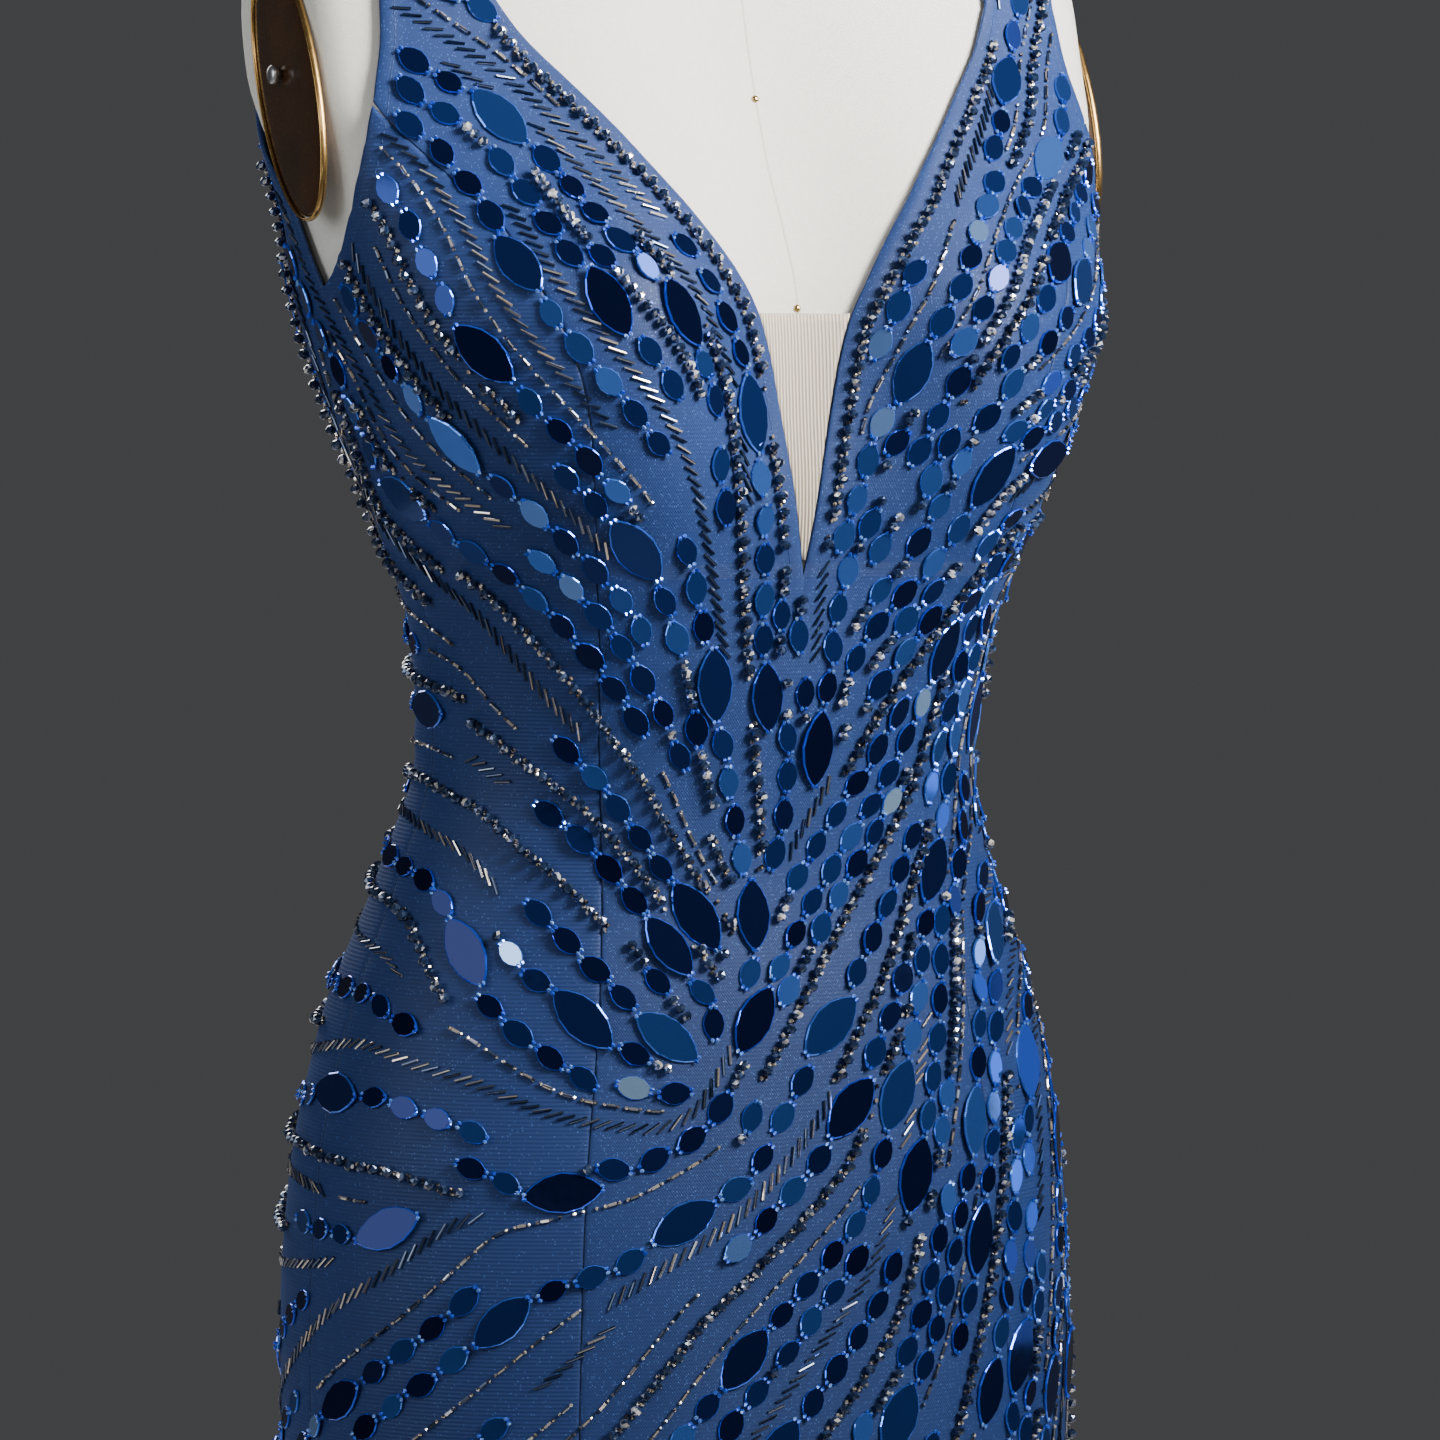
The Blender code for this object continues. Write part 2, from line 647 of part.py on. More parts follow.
def block_cells(name, frame, across, out, along, filled, finish):
    """A body made of the filled cells of a small grid set in a local frame."""
    index = {}
    points = []
    faces = []

    def corner(i, j, k):
        if (i, j, k) not in index:
            index[(i, j, k)] = len(points)
            points.append(frame[0] + across[i] * frame[1]
                          + out[j] * frame[2] + along[k] * frame[3])
        return index[(i, j, k)]

    sides = (((1, 0, 0), ((1, 0, 0), (1, 1, 0), (1, 1, 1), (1, 0, 1))),
             ((-1, 0, 0), ((0, 0, 0), (0, 0, 1), (0, 1, 1), (0, 1, 0))),
             ((0, 1, 0), ((0, 1, 0), (0, 1, 1), (1, 1, 1), (1, 1, 0))),
             ((0, -1, 0), ((0, 0, 0), (1, 0, 0), (1, 0, 1), (0, 0, 1))),
             ((0, 0, 1), ((0, 0, 1), (1, 0, 1), (1, 1, 1), (0, 1, 1))),
             ((0, 0, -1), ((0, 0, 0), (0, 1, 0), (1, 1, 0), (1, 0, 0))))
    for cell in filled:
        for step, corners in sides:
            beside = tuple(c + s for c, s in zip(cell, step))
            if beside not in filled:
                faces.append(tuple(corner(*(c + d for c, d in zip(cell, delta)))
                                   for delta in corners))
    return solid(name, points, faces, finish)


def zip_frame():
    """Where the slider sits: a point, then across, out and along directions."""
    spot = lifted(math.pi, ZIP_HEIGHT, WALL)
    out = outward(math.pi, ZIP_HEIGHT)
    out[0] = 0.0
    out = out / np.linalg.norm(out)
    across = np.array([1.0, 0.0, 0.0])
    along = np.cross(across, out)
    return spot, across, out, along


def zip_slider(finish):
    filled = set()
    for i in range(3):
        for k in range(3):
            filled.add((i, 0, k))
    for j in (1, 2):
        filled.add((0, j, 1))
        filled.add((2, j, 1))
    filled.add((1, 2, 1))
    return block_cells("zip_slider", zip_frame(), SLIDER_ACROSS, SLIDER_OUT,
                       SLIDER_ALONG, filled, finish)


def zip_pivot():
    spot, _, out, _ = zip_frame()
    return spot + ZIP_PIN * out


def zip_pull(finish):
    """A tab hung by its eye on the slider's bar, straight down."""
    pivot = zip_pivot()
    count = PULL_RING_POINTS
    points = []
    for x in (-PULL_HALF_WIDTH, PULL_HALF_WIDTH):
        for radius in (PULL_RING_OUT, PULL_RING_IN):
            for i in range(count):
                turn = -math.pi / 2 + (i + 0.5) * 2 * math.pi / count
                points.append((x, radius * math.cos(turn), radius * math.sin(turn)))
    outer_low = 0
    inner_low = count
    outer_high = 2 * count
    inner_high = 3 * count
    faces = []
    for i in range(count):
        j = (i + 1) % count
        faces.append((outer_low + j, outer_low + i, inner_low + i, inner_low + j))
        faces.append((outer_high + i, outer_high + j, inner_high + j, inner_high + i))
        faces.append((inner_low + i, inner_high + i, inner_high + j, inner_low + j))
        if i != count - 1:
            faces.append((outer_low + i, outer_low + j, outer_high + j, outer_high + i))
    last = (outer_low + count - 1, outer_low, outer_high, outer_high + count - 1)
    for drop, half_wide, half_thick in PULL_PROFILE:
        first = len(points)
        points.extend(((-half_wide, -half_thick, -drop), (-half_wide, half_thick, -drop),
                       (half_wide, half_thick, -drop), (half_wide, -half_thick, -drop)))
        new = (first, first + 1, first + 2, first + 3)
        for a in range(4):
            b = (a + 1) % 4
            faces.append((last[a], last[b], new[b], new[a]))
        last = new
    faces.append(last)
    points = np.array(points) + pivot
    return solid("zip_pull", points, faces, finish)


def build():
    start_clean()
    blue = material("blue_cloth", BLUE, 0.6)
    beige = material("beige_mesh", BEIGE, 0.8)
    cotton = material("cream_cotton", COTTON, 0.9)
    bronze = material("bronze_gloss", BRONZE, 0.2)
    brass = material("brass", BRASS, 0.3, 1.0)
    steel = material("steel", STEEL, 0.35, 1.0)
    iron = material("black_iron", IRON, 0.5)
    zip_metal = material("blue_metal", ZIP_METAL, 0.4, 0.8)

    side = side_front_chart()
    back = back_chart()
    cloth("front_centre", front_centre_chart(), WALL, blue)
    cloth("side_front_left", side, WALL, blue)
    cloth("side_front_right", side.mirrored(), WALL, blue)
    cloth("back_left", back, WALL, blue)
    cloth("back_right", back.mirrored(), WALL, blue)
    cloth("mesh_insert", insert_chart(), MESH_WALL, beige)

    stacked("form_torso", [torso_ring(height) for height in FORM_ROWS], cotton)
    top = torso_ring(NECK_TOP)
    middle = top.mean(axis=0)
    cap = []
    for rise, grow in CAP_PROFILE:
        ring = middle + (top - middle) * grow
        ring[:, 2] = NECK_TOP + WAIST_HEIGHT + rise
        cap.append(ring[::2])
    stacked("neck_cap", cap, bronze)
    for label, way in (("left", 1), ("right", -1)):
        layers = ((PART_GAP, 0.0), (PART_GAP + PLATE_EDGE, 0.0),
                  (PART_GAP + PLATE_THICK, -PLATE_ROUND))
        side_disc("arm_plate_" + label, way, layers, bronze)
        side_rim("plate_rim_" + label, way, brass)
        knob("plate_knob_" + label, way, steel)

    foot = FORM_FOOT + WAIST_HEIGHT - PART_GAP
    stacked("pole", [round_ring(POLE_RADIUS, z, POLE_POINTS)
                     for z in (BASE_HEIGHT + PART_GAP, foot)], steel)
    stacked("base_disc", [round_ring(radius, z, BASE_POINTS)
                          for radius, z in BASE_PROFILE], iron)

    zip_slider(zip_metal)
    zip_pull(zip_metal)


build()
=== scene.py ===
# %% [markdown]
# # A beaded evening gown on a dress form
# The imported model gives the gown's panels, the form and the stand as plain
# solids. This lesson makes the cloth, the sewing, the mirror stones and the
# beads that lie on them, in the same frame and in metres.

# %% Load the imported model
import json
import math

import bpy
import numpy as np
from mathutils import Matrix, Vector

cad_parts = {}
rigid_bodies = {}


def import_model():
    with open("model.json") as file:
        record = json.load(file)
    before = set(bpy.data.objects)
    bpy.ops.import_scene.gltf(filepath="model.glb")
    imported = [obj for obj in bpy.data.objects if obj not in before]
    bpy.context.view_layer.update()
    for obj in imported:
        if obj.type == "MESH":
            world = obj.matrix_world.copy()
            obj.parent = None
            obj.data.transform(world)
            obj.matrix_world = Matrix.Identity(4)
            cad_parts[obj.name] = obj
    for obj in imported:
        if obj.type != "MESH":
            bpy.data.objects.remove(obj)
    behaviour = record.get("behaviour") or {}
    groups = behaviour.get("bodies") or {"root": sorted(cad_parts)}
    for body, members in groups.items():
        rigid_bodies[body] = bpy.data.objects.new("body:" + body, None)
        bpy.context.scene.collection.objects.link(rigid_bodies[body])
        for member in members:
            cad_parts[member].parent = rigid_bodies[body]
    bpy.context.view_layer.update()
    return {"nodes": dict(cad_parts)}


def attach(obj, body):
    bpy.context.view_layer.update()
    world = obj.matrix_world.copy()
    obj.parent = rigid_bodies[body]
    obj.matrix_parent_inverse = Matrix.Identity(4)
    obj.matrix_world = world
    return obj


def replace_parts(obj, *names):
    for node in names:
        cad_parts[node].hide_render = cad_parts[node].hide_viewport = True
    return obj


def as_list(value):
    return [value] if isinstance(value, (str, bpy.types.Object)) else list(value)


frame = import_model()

GOWN = "gown_on_form"
MM = 0.001
dice = np.random.default_rng(11)

# %% [markdown]
# ## The body that the cloth is cut to
# A maker fits a gown on a form, so every panel lies on one body surface. Here
# that surface is worked out from a short table of cross-sections. A place on
# it is named by its angle round the body (0 in front, +90 at the wearer's
# left) and its height over the waist, so cloth and beads share one way of
# measuring and can't drift apart. All sizes in the tables are millimetres.

# %% Cross-sections of the body
WAIST_HEIGHT = 1060.0
HEM = -1048.0
SECTIONS = (  # over_waist, half_width, middle, front, back, front/back squareness
    (-1048, 283.0, 5, 270, 300, 2.00, 2.00), (-980, 266.0, 6, 252, 282, 2.00, 2.00),
    (-900, 245.0, 8, 232, 258, 2.00, 2.00), (-800, 214.0, 9, 203, 222, 2.00, 2.00),
    (-700, 190.0, 10, 178, 192, 2.00, 2.00), (-620, 179.0, 10, 164, 174, 2.00, 2.00),
    (-500, 172.0, 11, 148, 155, 2.05, 2.05), (-400, 172.0, 12, 137, 146, 2.10, 2.10),
    (-320, 173.5, 13, 130, 140, 2.15, 2.15), (-236, 174.5, 13, 122, 136, 2.20, 2.20),
    (-180, 171.5, 12, 117, 130, 2.20, 2.20), (-110, 158.0, 9, 105, 114, 2.20, 2.20),
    (-50, 136.0, 7, 94, 92, 2.20, 2.20), (0, 122.0, 1, 90, 82, 2.25, 2.20),
    (50, 126.0, -3, 90, 85, 2.40, 2.20), (100, 141.0, -3, 91, 94, 2.80, 2.30),
    (150, 159.0, 0, 88, 104, 3.60, 2.50), (193, 171.0, 2, 86, 112, 4.00, 2.60),
    (225, 177.0, 5, 77, 109, 3.90, 2.40), (250, 184.0, 10, 71, 104, 3.90, 2.35),
    (290, 197.0, 20, 69, 95, 3.10, 2.30), (330, 200.0, 30, 71, 78, 2.75, 2.30),
    (350, 178.0, 33, 70, 60, 2.40, 2.25), (365, 142.0, 34, 66, 50, 2.20, 2.20),
    (380, 105.0, 34, 60, 48, 2.10, 2.10), (395, 80.0, 33, 56, 48, 2.00, 2.00),
    (410, 64.0, 32, 53, 50, 2.00, 2.00), (440, 55.0, 32, 50, 50, 2.00, 2.00),
)
BUST_APEX, BUST_HEIGHT, BUST_DEPTH = 90.0, 176.0, 38.0
BUST_IN, BUST_OUT, BUST_UP, BUST_DOWN = 44.0, 60.0, 82.0, 66.0
FOLD_START, FOLD_DEPTH, FOLD_COUNT = -560.0, 15.0, 9


def smooth_curve(table, column, at):
    """A monotone cubic through one column of a table."""
    xs = np.array([row[0] for row in table], float)
    ys = np.array([row[column] for row in table], float)
    step = np.diff(xs)
    rise = np.diff(ys) / step
    slope = np.zeros_like(ys)
    slope[0], slope[-1] = rise[0], rise[-1]
    for i in range(1, len(xs) - 1):
        if rise[i - 1] * rise[i] > 0:
            before = 2 * step[i] + step[i - 1]
            after = step[i] + 2 * step[i - 1]
            slope[i] = (before + after) / (before / rise[i - 1] + after / rise[i])
    at = np.clip(np.asarray(at, float), xs[0], xs[-1])
    i = np.clip(np.searchsorted(xs, at, side="right") - 1, 0, len(xs) - 2)
    t = (at - xs[i]) / step[i]
    return ((1 + 2 * t) * (1 - t) ** 2 * ys[i] + t * (1 - t) ** 2 * step[i] * slope[i]
            + t * t * (3 - 2 * t) * ys[i + 1] + t * t * (t - 1) * step[i] * slope[i + 1])


print("waist width:", 2 * smooth_curve(SECTIONS, 1, 0.0), "mm")


# %% The body surface
ROUND_MOVE, UP_MOVE = 0.004, 0.6  # short moves that show how the surface runs, rad and mm


def section_at(height, at_back):
    """Half width, middle, depth and squareness, on the front or on the back."""
    width, middle, front, back, front_square, back_square = (
        smooth_curve(SECTIONS, column, height) for column in range(1, 7))
    return (width, middle, np.where(at_back, back, front),
            np.where(at_back, back_square, front_square))


def section_edge(angle, height):
    """The section's reach at an angle, before bust and flutes, and its middle."""
    width, middle, depth, square = section_at(height, np.cos(angle) < 0)
    return (np.abs(np.sin(angle) / width) ** square
            + np.abs(np.cos(angle) / depth) ** square) ** (-1 / square), middle


def bust(x, height):
    spread_up = np.where(height > BUST_HEIGHT, BUST_UP, BUST_DOWN)
    rise = np.exp(-((height - BUST_HEIGHT) / spread_up) ** 2 / 2)
    out = 0.0
    for side in (-1, 1):
        across = side * x - BUST_APEX
        out = out + np.exp(-(across / np.where(across > 0, BUST_OUT, BUST_IN)) ** 2 / 2)
    return BUST_DEPTH * out * rise


def flutes(angle, height):
    """The soft waves of the flared hem."""
    grow = np.clip((FOLD_START - height) / (FOLD_START - HEM), 0, 1) ** 1.6
    wave = (0.70 + 0.30 * np.cos(2 * angle)) * np.cos(FOLD_COUNT * angle)
    return FOLD_DEPTH * grow * (wave + 0.28 * np.cos(4 * angle))


def figure(angle, height):
    """The body surface, in millimetres from the floor under its middle."""
    angle = np.asarray(angle, float)
    height = np.asarray(height, float) + 0.0 * angle
    reach, middle = section_edge(angle, height)
    reach = reach + flutes(angle, height)
    x = reach * np.sin(angle)
    y = middle - reach * np.cos(angle)
    y = y - bust(x, height) * (1 - (1 - np.clip(np.cos(angle), 0, 1)) ** 2)
    return np.stack([x, y, height + WAIST_HEIGHT], axis=-1)


def unit(vectors):
    return vectors / np.maximum(np.linalg.norm(vectors, axis=-1, keepdims=True), 1e-12)


def moves(angle, height):
    """How the surface runs over a short move round the body, and over one up it."""
    turn, climb = ROUND_MOVE / 2, UP_MOVE / 2
    return (figure(angle + turn, height) - figure(angle - turn, height),
            figure(angle, height + climb) - figure(angle, height - climb))


def outward(angle, height):
    return unit(np.cross(*moves(angle, height)))


def angle_of(x, height, at_back=False):
    """The angle of the surface place that lies x from the middle plane."""
    width, _, depth, square = section_at(height, at_back)
    share = np.clip(np.abs(x) / width, 0, 1) ** square
    angle = np.arctan2(x, depth * (1 - share) ** (1 / square))
    return math.pi - angle if at_back else angle


def flat_x(angle, height):
    return math.sin(angle) * float(section_edge(angle, height)[0])


def runs(spots):
    """Distance walked along a line of points, up to each of them."""
    return np.concatenate([[0], np.cumsum(np.linalg.norm(np.diff(spots, axis=0), axis=1))])


ring = figure(np.radians(np.arange(0, 361, 2.0)), 0.0)
print("waist on the body:", round(float(runs(ring)[-1])))

# %% [markdown]
# ## Where the cloth ends
# A gown is known by its edges: the deep V, the armholes, the seams. They are
# short tables too, and each edge is also kept as a line of points, so that
# the cloth can thicken where it is turned under and dip where it is sewn.

# %% Edges and seams
V_POINT, BACK_V_POINT = 77.0, 150.0
FRONT_NECK = (  # over_waist, half_width
    (77, 0.0), (98, 3.6), (122, 7.8), (146, 12.5), (170, 17.5), (186, 22.5), (200, 30.0),
    (218, 42.0), (238, 57.5), (260, 75.0), (280, 91.5), (300, 108.0), (320, 119.0),
)
BACK_NECK = (  # over_waist, half_width
    (150, 0.0), (175, 22.0), (200, 42.0), (230, 63.0), (260, 82.0), (290, 100.0), (320, 116.0),
)
PRINCESS = (  # over_waist, angle
    (-1048, 44.0), (-300, 44.0), (-117, 44.0), (-56, 45.5), (6, 49.0), (52, 50.0),
    (100, 51.0), (142, 52.2), (170, 54.2), (193, 57.0), (221, 62.0), (243, 67.5), (270, 73.0),
)
ARMHOLE_FRONT = (  # over_waist, angle
    (197, 90.0), (200, 87.5), (206, 85.0), (213, 82.5), (228, 78.5), (244, 75.7),
    (257, 74.0), (270, 73.0), (283, 72.6), (300, 72.0), (320, 71.5),
)
ARMHOLE_BACK = (  # over_waist, angle
    (197, 90.0), (204, 91.2), (213, 92.6), (222, 93.6), (234, 94.8), (243, 97.0),
    (252, 100.0), (265, 104.5), (282, 108.0), (300, 109.7), (320, 110.3),
)
ARMHOLE_FOOT, ARMHOLE_PRINCESS, STRAP_START = 197.0, 270.0, 320.0
RIDGE_IN, RIDGE_OUT = 126.0, 159.0
SEAM_GAP = 0.32


def seam_angle(table, height):
    return np.radians(smooth_curve(table, 1, height))


def ridge_height(x):
    heights = np.linspace(335, 400, 400)
    return np.interp(-np.asarray(x, float), -smooth_curve(SECTIONS, 1, heights), heights)


def half_gap(angle, height):
    flat = figure(angle, height)[..., :2]
    return 0.5 * SEAM_GAP / np.linalg.norm(flat, axis=-1)


def strap_x(armhole):
    """How far from the middle plane a strap's outer edge starts."""
    return flat_x(float(seam_angle(armhole, STRAP_START)), STRAP_START)


def strap_height(x, turn):
    """The height of a strap at x, a part of the turn up to the shoulder's top."""
    return STRAP_START + (ridge_height(x) - STRAP_START) * np.sin(turn * math.pi / 2)


def strap_line(low_x, ridge_x, at_back):
    """One edge of a strap, from where the strap starts to the shoulder's top."""
    turn = np.linspace(0, 1, 14)
    x = low_x + (ridge_x - low_x) * turn
    height = strap_height(x, turn)
    return angle_of(x, height, at_back), height


def sewn_lines():
    """The open edges and the seams of the wearer's left, as (angle, height)."""
    neck = np.arange(V_POINT, STRAP_START, 2.0)
    back = np.arange(BACK_V_POINT, STRAP_START, 2.0)
    arm = np.arange(ARMHOLE_FOOT, STRAP_START, 1.5)
    edges = [
        (angle_of(smooth_curve(FRONT_NECK, 1, neck), neck), neck),
        (angle_of(smooth_curve(BACK_NECK, 1, back), back, True), back),
        (seam_angle(ARMHOLE_FRONT, arm), arm), (seam_angle(ARMHOLE_BACK, arm), arm),
        strap_line(FRONT_NECK[-1][1], RIDGE_IN, False),
        strap_line(BACK_NECK[-1][1], RIDGE_IN, True),
        strap_line(strap_x(ARMHOLE_FRONT), RIDGE_OUT, False),
        strap_line(strap_x(ARMHOLE_BACK), RIDGE_OUT, True),
        (np.radians(np.arange(0, 181, 0.4)), np.full(453, HEM)),
    ]
    princess = np.arange(HEM, ARMHOLE_PRINCESS, 2.0)
    side = np.arange(HEM, ARMHOLE_FOOT, 2.0)
    middle = np.arange(HEM, BACK_V_POINT, 2.0)
    seams = [(seam_angle(PRINCESS, princess), princess),
             (np.full(len(side), math.pi / 2), side),
             (np.full(len(middle), math.pi), middle)]
    return edges, seams


EDGES, SEAMS = sewn_lines()


def both_sides(lines):
    dots = np.concatenate([figure(angle, height) for angle, height in lines])
    return np.concatenate([dots, dots * np.array([-1, 1, 1])])


EDGE_DOTS, SEAM_DOTS = both_sides(EDGES), both_sides(SEAMS)
print("edge dots:", len(EDGE_DOTS), "seam dots:", len(SEAM_DOTS))

# %% [markdown]
# ## Relief of the cloth
# Stretch cloth on a firm form has no big folds over the bust, but it pulls in
# soft ridges where it is tight: under the arm, at the waist and over the hip.
# They are given as long, low swells. At each open edge the cloth is
# turned under, so it is thicker for 6 mm, and at a seam it dips.

# %% Soft pulls, turned edges and seams
WALL = 1.45
TURN_WIDE, TURN_RISE, TURN_SOFT = 6.0, 0.38, 0.35
EDGE_DIP, SEAM_DIP = (0.75, 0.9), (0.6, 0.8)  # depth and width
PULL_REACH = 60.0  # a pull doesn't show through to the other side of the body
BLOCK = 2000
PULLS = (  # angle, over_waist, half_length, half_width, lean, lift
    (-88, 150, 34, 5.0, 62, 0.7), (-80, 128, 40, 6.0, 58, 0.6), (88, 148, 34, 5.0, -62, 0.7),
    (78, 122, 40, 6.0, -58, 0.5), (-84, 28, 42, 5.5, 80, 0.8), (-92, 8, 46, 5.5, 92, 0.9),
    (-82, -14, 44, 6.0, 100, 0.7), (84, 26, 40, 5.5, -82, 0.8), (92, 4, 44, 5.5, -92, 0.9),
    (80, -16, 42, 6.0, -100, 0.7), (-52, -70, 60, 9.0, 42, 0.6), (48, -84, 64, 9.0, -34, 0.6),
    (-30, -40, 48, 7.0, 30, 0.45), (26, 20, 44, 7.0, -28, 0.4), (150, 40, 46, 6.0, -70, 0.8),
    (-150, 40, 46, 6.0, 70, 0.8), (165, 8, 44, 6.0, -84, 0.9), (-165, 8, 44, 6.0, 84, 0.9),
    (150, -24, 50, 7.0, -100, 0.8), (-150, -24, 50, 7.0, 100, 0.8), (120, -90, 60, 9.0, -60, 0.7),
    (-120, -90, 60, 9.0, 60, 0.7), (-68, 236, 30, 5.0, 30, 0.5), (66, 232, 30, 5.0, -32, 0.5),
    (-20, -320, 90, 14.0, 14, 1.0), (34, -350, 90, 14.0, -10, 1.0), (120, -330, 90, 14.0, -8, 1.1),
    (-130, -340, 90, 14.0, 8, 1.1), (180, -300, 90, 13.0, 0, 1.1), (-74, -360, 90, 14.0, 10, 1.0),
)


def pull_frames():
    """The middle of each pull, with its ways along, beside and outward."""
    frames = []
    for angle, over, _, _, lean, _ in PULLS:
        angle, lean = math.radians(angle), math.radians(lean)
        middle = figure(angle, float(over))
        round_way = unit(figure(angle + 0.01, float(over)) - middle)
        up_way = unit(figure(angle, over + 1.0) - middle)
        out = unit(np.cross(round_way, up_way))
        along = -math.cos(lean) * up_way + math.sin(lean) * round_way
        frames.append((middle, along, unit(np.cross(along, out)), out))
    return frames


PULL_FRAMES = pull_frames()


def pull_lift(spot):
    """How far the soft pulls stand out at points of the body surface."""
    out = np.zeros(np.shape(spot)[:-1])
    for (_, _, length, width, _, lift), (middle, along, beside, outer) in zip(PULLS, PULL_FRAMES):
        away = spot - middle
        swell = np.exp(-((away @ along) / length) ** 2 / 2 - ((away @ beside) / width) ** 2 / 2)
        out = out + lift * swell * (np.abs(away @ outer) < PULL_REACH)
    return out


def nearest(spots, dots):
    """Distance from each spot to the nearest dot, in blocks to save memory."""
    best = np.empty(len(spots))
    for start in range(0, len(spots), BLOCK):
        away = spots[start:start + BLOCK, None, :] - dots[None, :, :]
        best[start:start + BLOCK] = np.sqrt((away ** 2).sum(-1).min(axis=1))
    return best


def cloth_top(angle, height, sewn=True):
    """The outer face of the cloth at each place."""
    base = figure(angle, height)
    out = WALL + pull_lift(base)
    if sewn:
        edge, seam = nearest(base, EDGE_DOTS), nearest(base, SEAM_DOTS)
        out = out + TURN_RISE / (1 + np.exp((edge - TURN_WIDE) / TURN_SOFT))
        for far, (depth, width) in ((edge, EDGE_DIP), (seam, SEAM_DIP)):
            out = out - depth * np.exp(-(far / width) ** 2)
    return base + out[..., None] * outward(angle, height)


print("pulls:", len(PULLS), "highest:", max(row[5] for row in PULLS), "mm")


# %% [markdown]
# ## Helpers for pieces
# Every piece is a mesh from a list of points, gets its finishes and rides on
# a body of the model; where a piece takes the place of a plain solid, that
# solid is hidden.

# %% Make a piece
def into_scene(name, data):
    thing = bpy.data.objects.new(name, data)
    bpy.context.scene.collection.objects.link(thing)
    return thing


def make_piece(name, points, faces, finishes, which=None, uv=None):
    mesh = bpy.data.meshes.new(name)
    mesh.from_pydata((np.asarray(points, float) * MM).tolist(), [], faces)
    for finish in finishes:
        mesh.materials.append(finish)
    if which is not None:
        mesh.polygons.foreach_set("material_index", np.asarray(which, np.int32))
    mesh.polygons.foreach_set("use_smooth", np.full(len(mesh.polygons), True))
    if uv is not None:
        layer = mesh.uv_layers.new(name="cloth_uv")
        corners = np.empty(len(mesh.loops), np.int32)
        mesh.loops.foreach_get("vertex_index", corners)
        layer.data.foreach_set("uv", (np.asarray(uv, float)[corners] * MM).ravel())
    mesh.update()
    piece = into_scene(name, mesh)
    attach(piece, GOWN)
    return piece


def full_turn(count):
    return np.arange(count) * 2 * math.pi / count


def ring_faces(first, second):
    count = len(first)
    return [(first[i], first[(i + 1) % count], second[(i + 1) % count], second[i])
            for i in range(count)]


def stack_rings(rings, cap_ends=True):
    """Points and faces of a body made of rings, each counter-clockwise."""
    count = len(rings[0])
    order = [list(range(k * count, (k + 1) * count)) for k in range(len(rings))]
    faces = [face for low, high in zip(order, order[1:]) for face in ring_faces(low, high)]
    if cap_ends:
        faces += [tuple(order[0][::-1]), tuple(order[-1])]
    return np.concatenate(rings), faces


def ring_piece(name, node, rings, finish, cap_ends=True):
    """A piece made of rings, in the place of one plain solid."""
    points, faces = stack_rings(rings, cap_ends)
    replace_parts(make_piece(name, points, faces, [finish]), node)


print("faces of three stacked squares:", len(stack_rings([np.zeros((4, 3))] * 3)[1]))

# %% [markdown]
# ## Finishes
# Threads, glitter with its painted glints, slow colour change and light wear
# are seen on more than one material, so each is a node group with its own
# inputs. The groups put out colours, masks and heights only. The shader itself
# stays in each material, where a learner can see what the light meets.

# %% A helper to wire nodes
def fill(tree, node, values):
    """Gives each input of a node its value, or the other node's output that feeds it."""
    for label, value in values.items():
        if isinstance(value, bpy.types.NodeSocket):
            tree.links.new(value, node.inputs[label])
        else:
            node.inputs[label].default_value = value


def add(tree, kind, values, **settings):
    node = tree.nodes.new("ShaderNode" + kind)
    for label, value in settings.items():
        setattr(node, label, value)
    fill(tree, node, values)
    return node.outputs


def calc(tree, operation, *values, clamp=False):
    return add(tree, "Math", dict(enumerate(values)), operation=operation, use_clamp=clamp)[0]


def mix_colour(tree, mask, first, second):
    return add(tree, "Mix", {0: mask, 6: first, 7: second}, data_type="RGBA")[2]


def new_group(name, inputs, outputs):
    """A group; an input without a value is a place, and one with four is a colour."""
    group = bpy.data.node_groups.new(name, "ShaderNodeTree")
    for label, value in inputs.items():
        kind = "Vector" if value is None else "Color" if isinstance(value, tuple) else "Float"
        socket = group.interface.new_socket(label, in_out="INPUT",
                                            socket_type="NodeSocket" + kind)
        if value is not None:
            socket.default_value = value
    for label in outputs:
        kind = "NodeSocketColor" if label == "Colour" else "NodeSocketFloat"
        group.interface.new_socket(label, in_out="OUTPUT", socket_type=kind)
    return group, group.nodes.new("NodeGroupInput").outputs, group.nodes.new("NodeGroupOutput")


print("node helpers:", fill.__name__, add.__name__, calc.__name__, new_group.__name__)


# %% Node group: woven threads
def make_threads_group():
    """Two sets of threads that cross; each height swells where one passes over."""
    group, given, made = new_group("woven_threads", {
        "Vector": None, "Across per mm": 1.0, "Along per mm": 1.0, "Rib share": 0.0},
        ("Height", "Mask"))
    split = add(group, "SeparateXYZ", {0: given["Vector"]})
    waves = []
    for axis, density in ((0, "Across per mm"), (1, "Along per mm")):
        scaled = calc(group, "MULTIPLY", split[axis], given[density])
        waves.append(calc(group, "SINE", calc(group, "MULTIPLY", scaled, 2 * math.pi / MM)))
    over = calc(group, "MULTIPLY", *waves)
    keep = calc(group, "SUBTRACT", 1.0, given["Rib share"])
    woven = calc(group, "MULTIPLY", over, keep)
    ribbed = calc(group, "MULTIPLY", waves[1], given["Rib share"])
    height = calc(group, "MULTIPLY_ADD", calc(group, "ADD", woven, ribbed), 0.5, 0.5)
    fill(group, made, {"Height": height, "Mask": calc(group, "POWER", height, 2.0)})
    return group


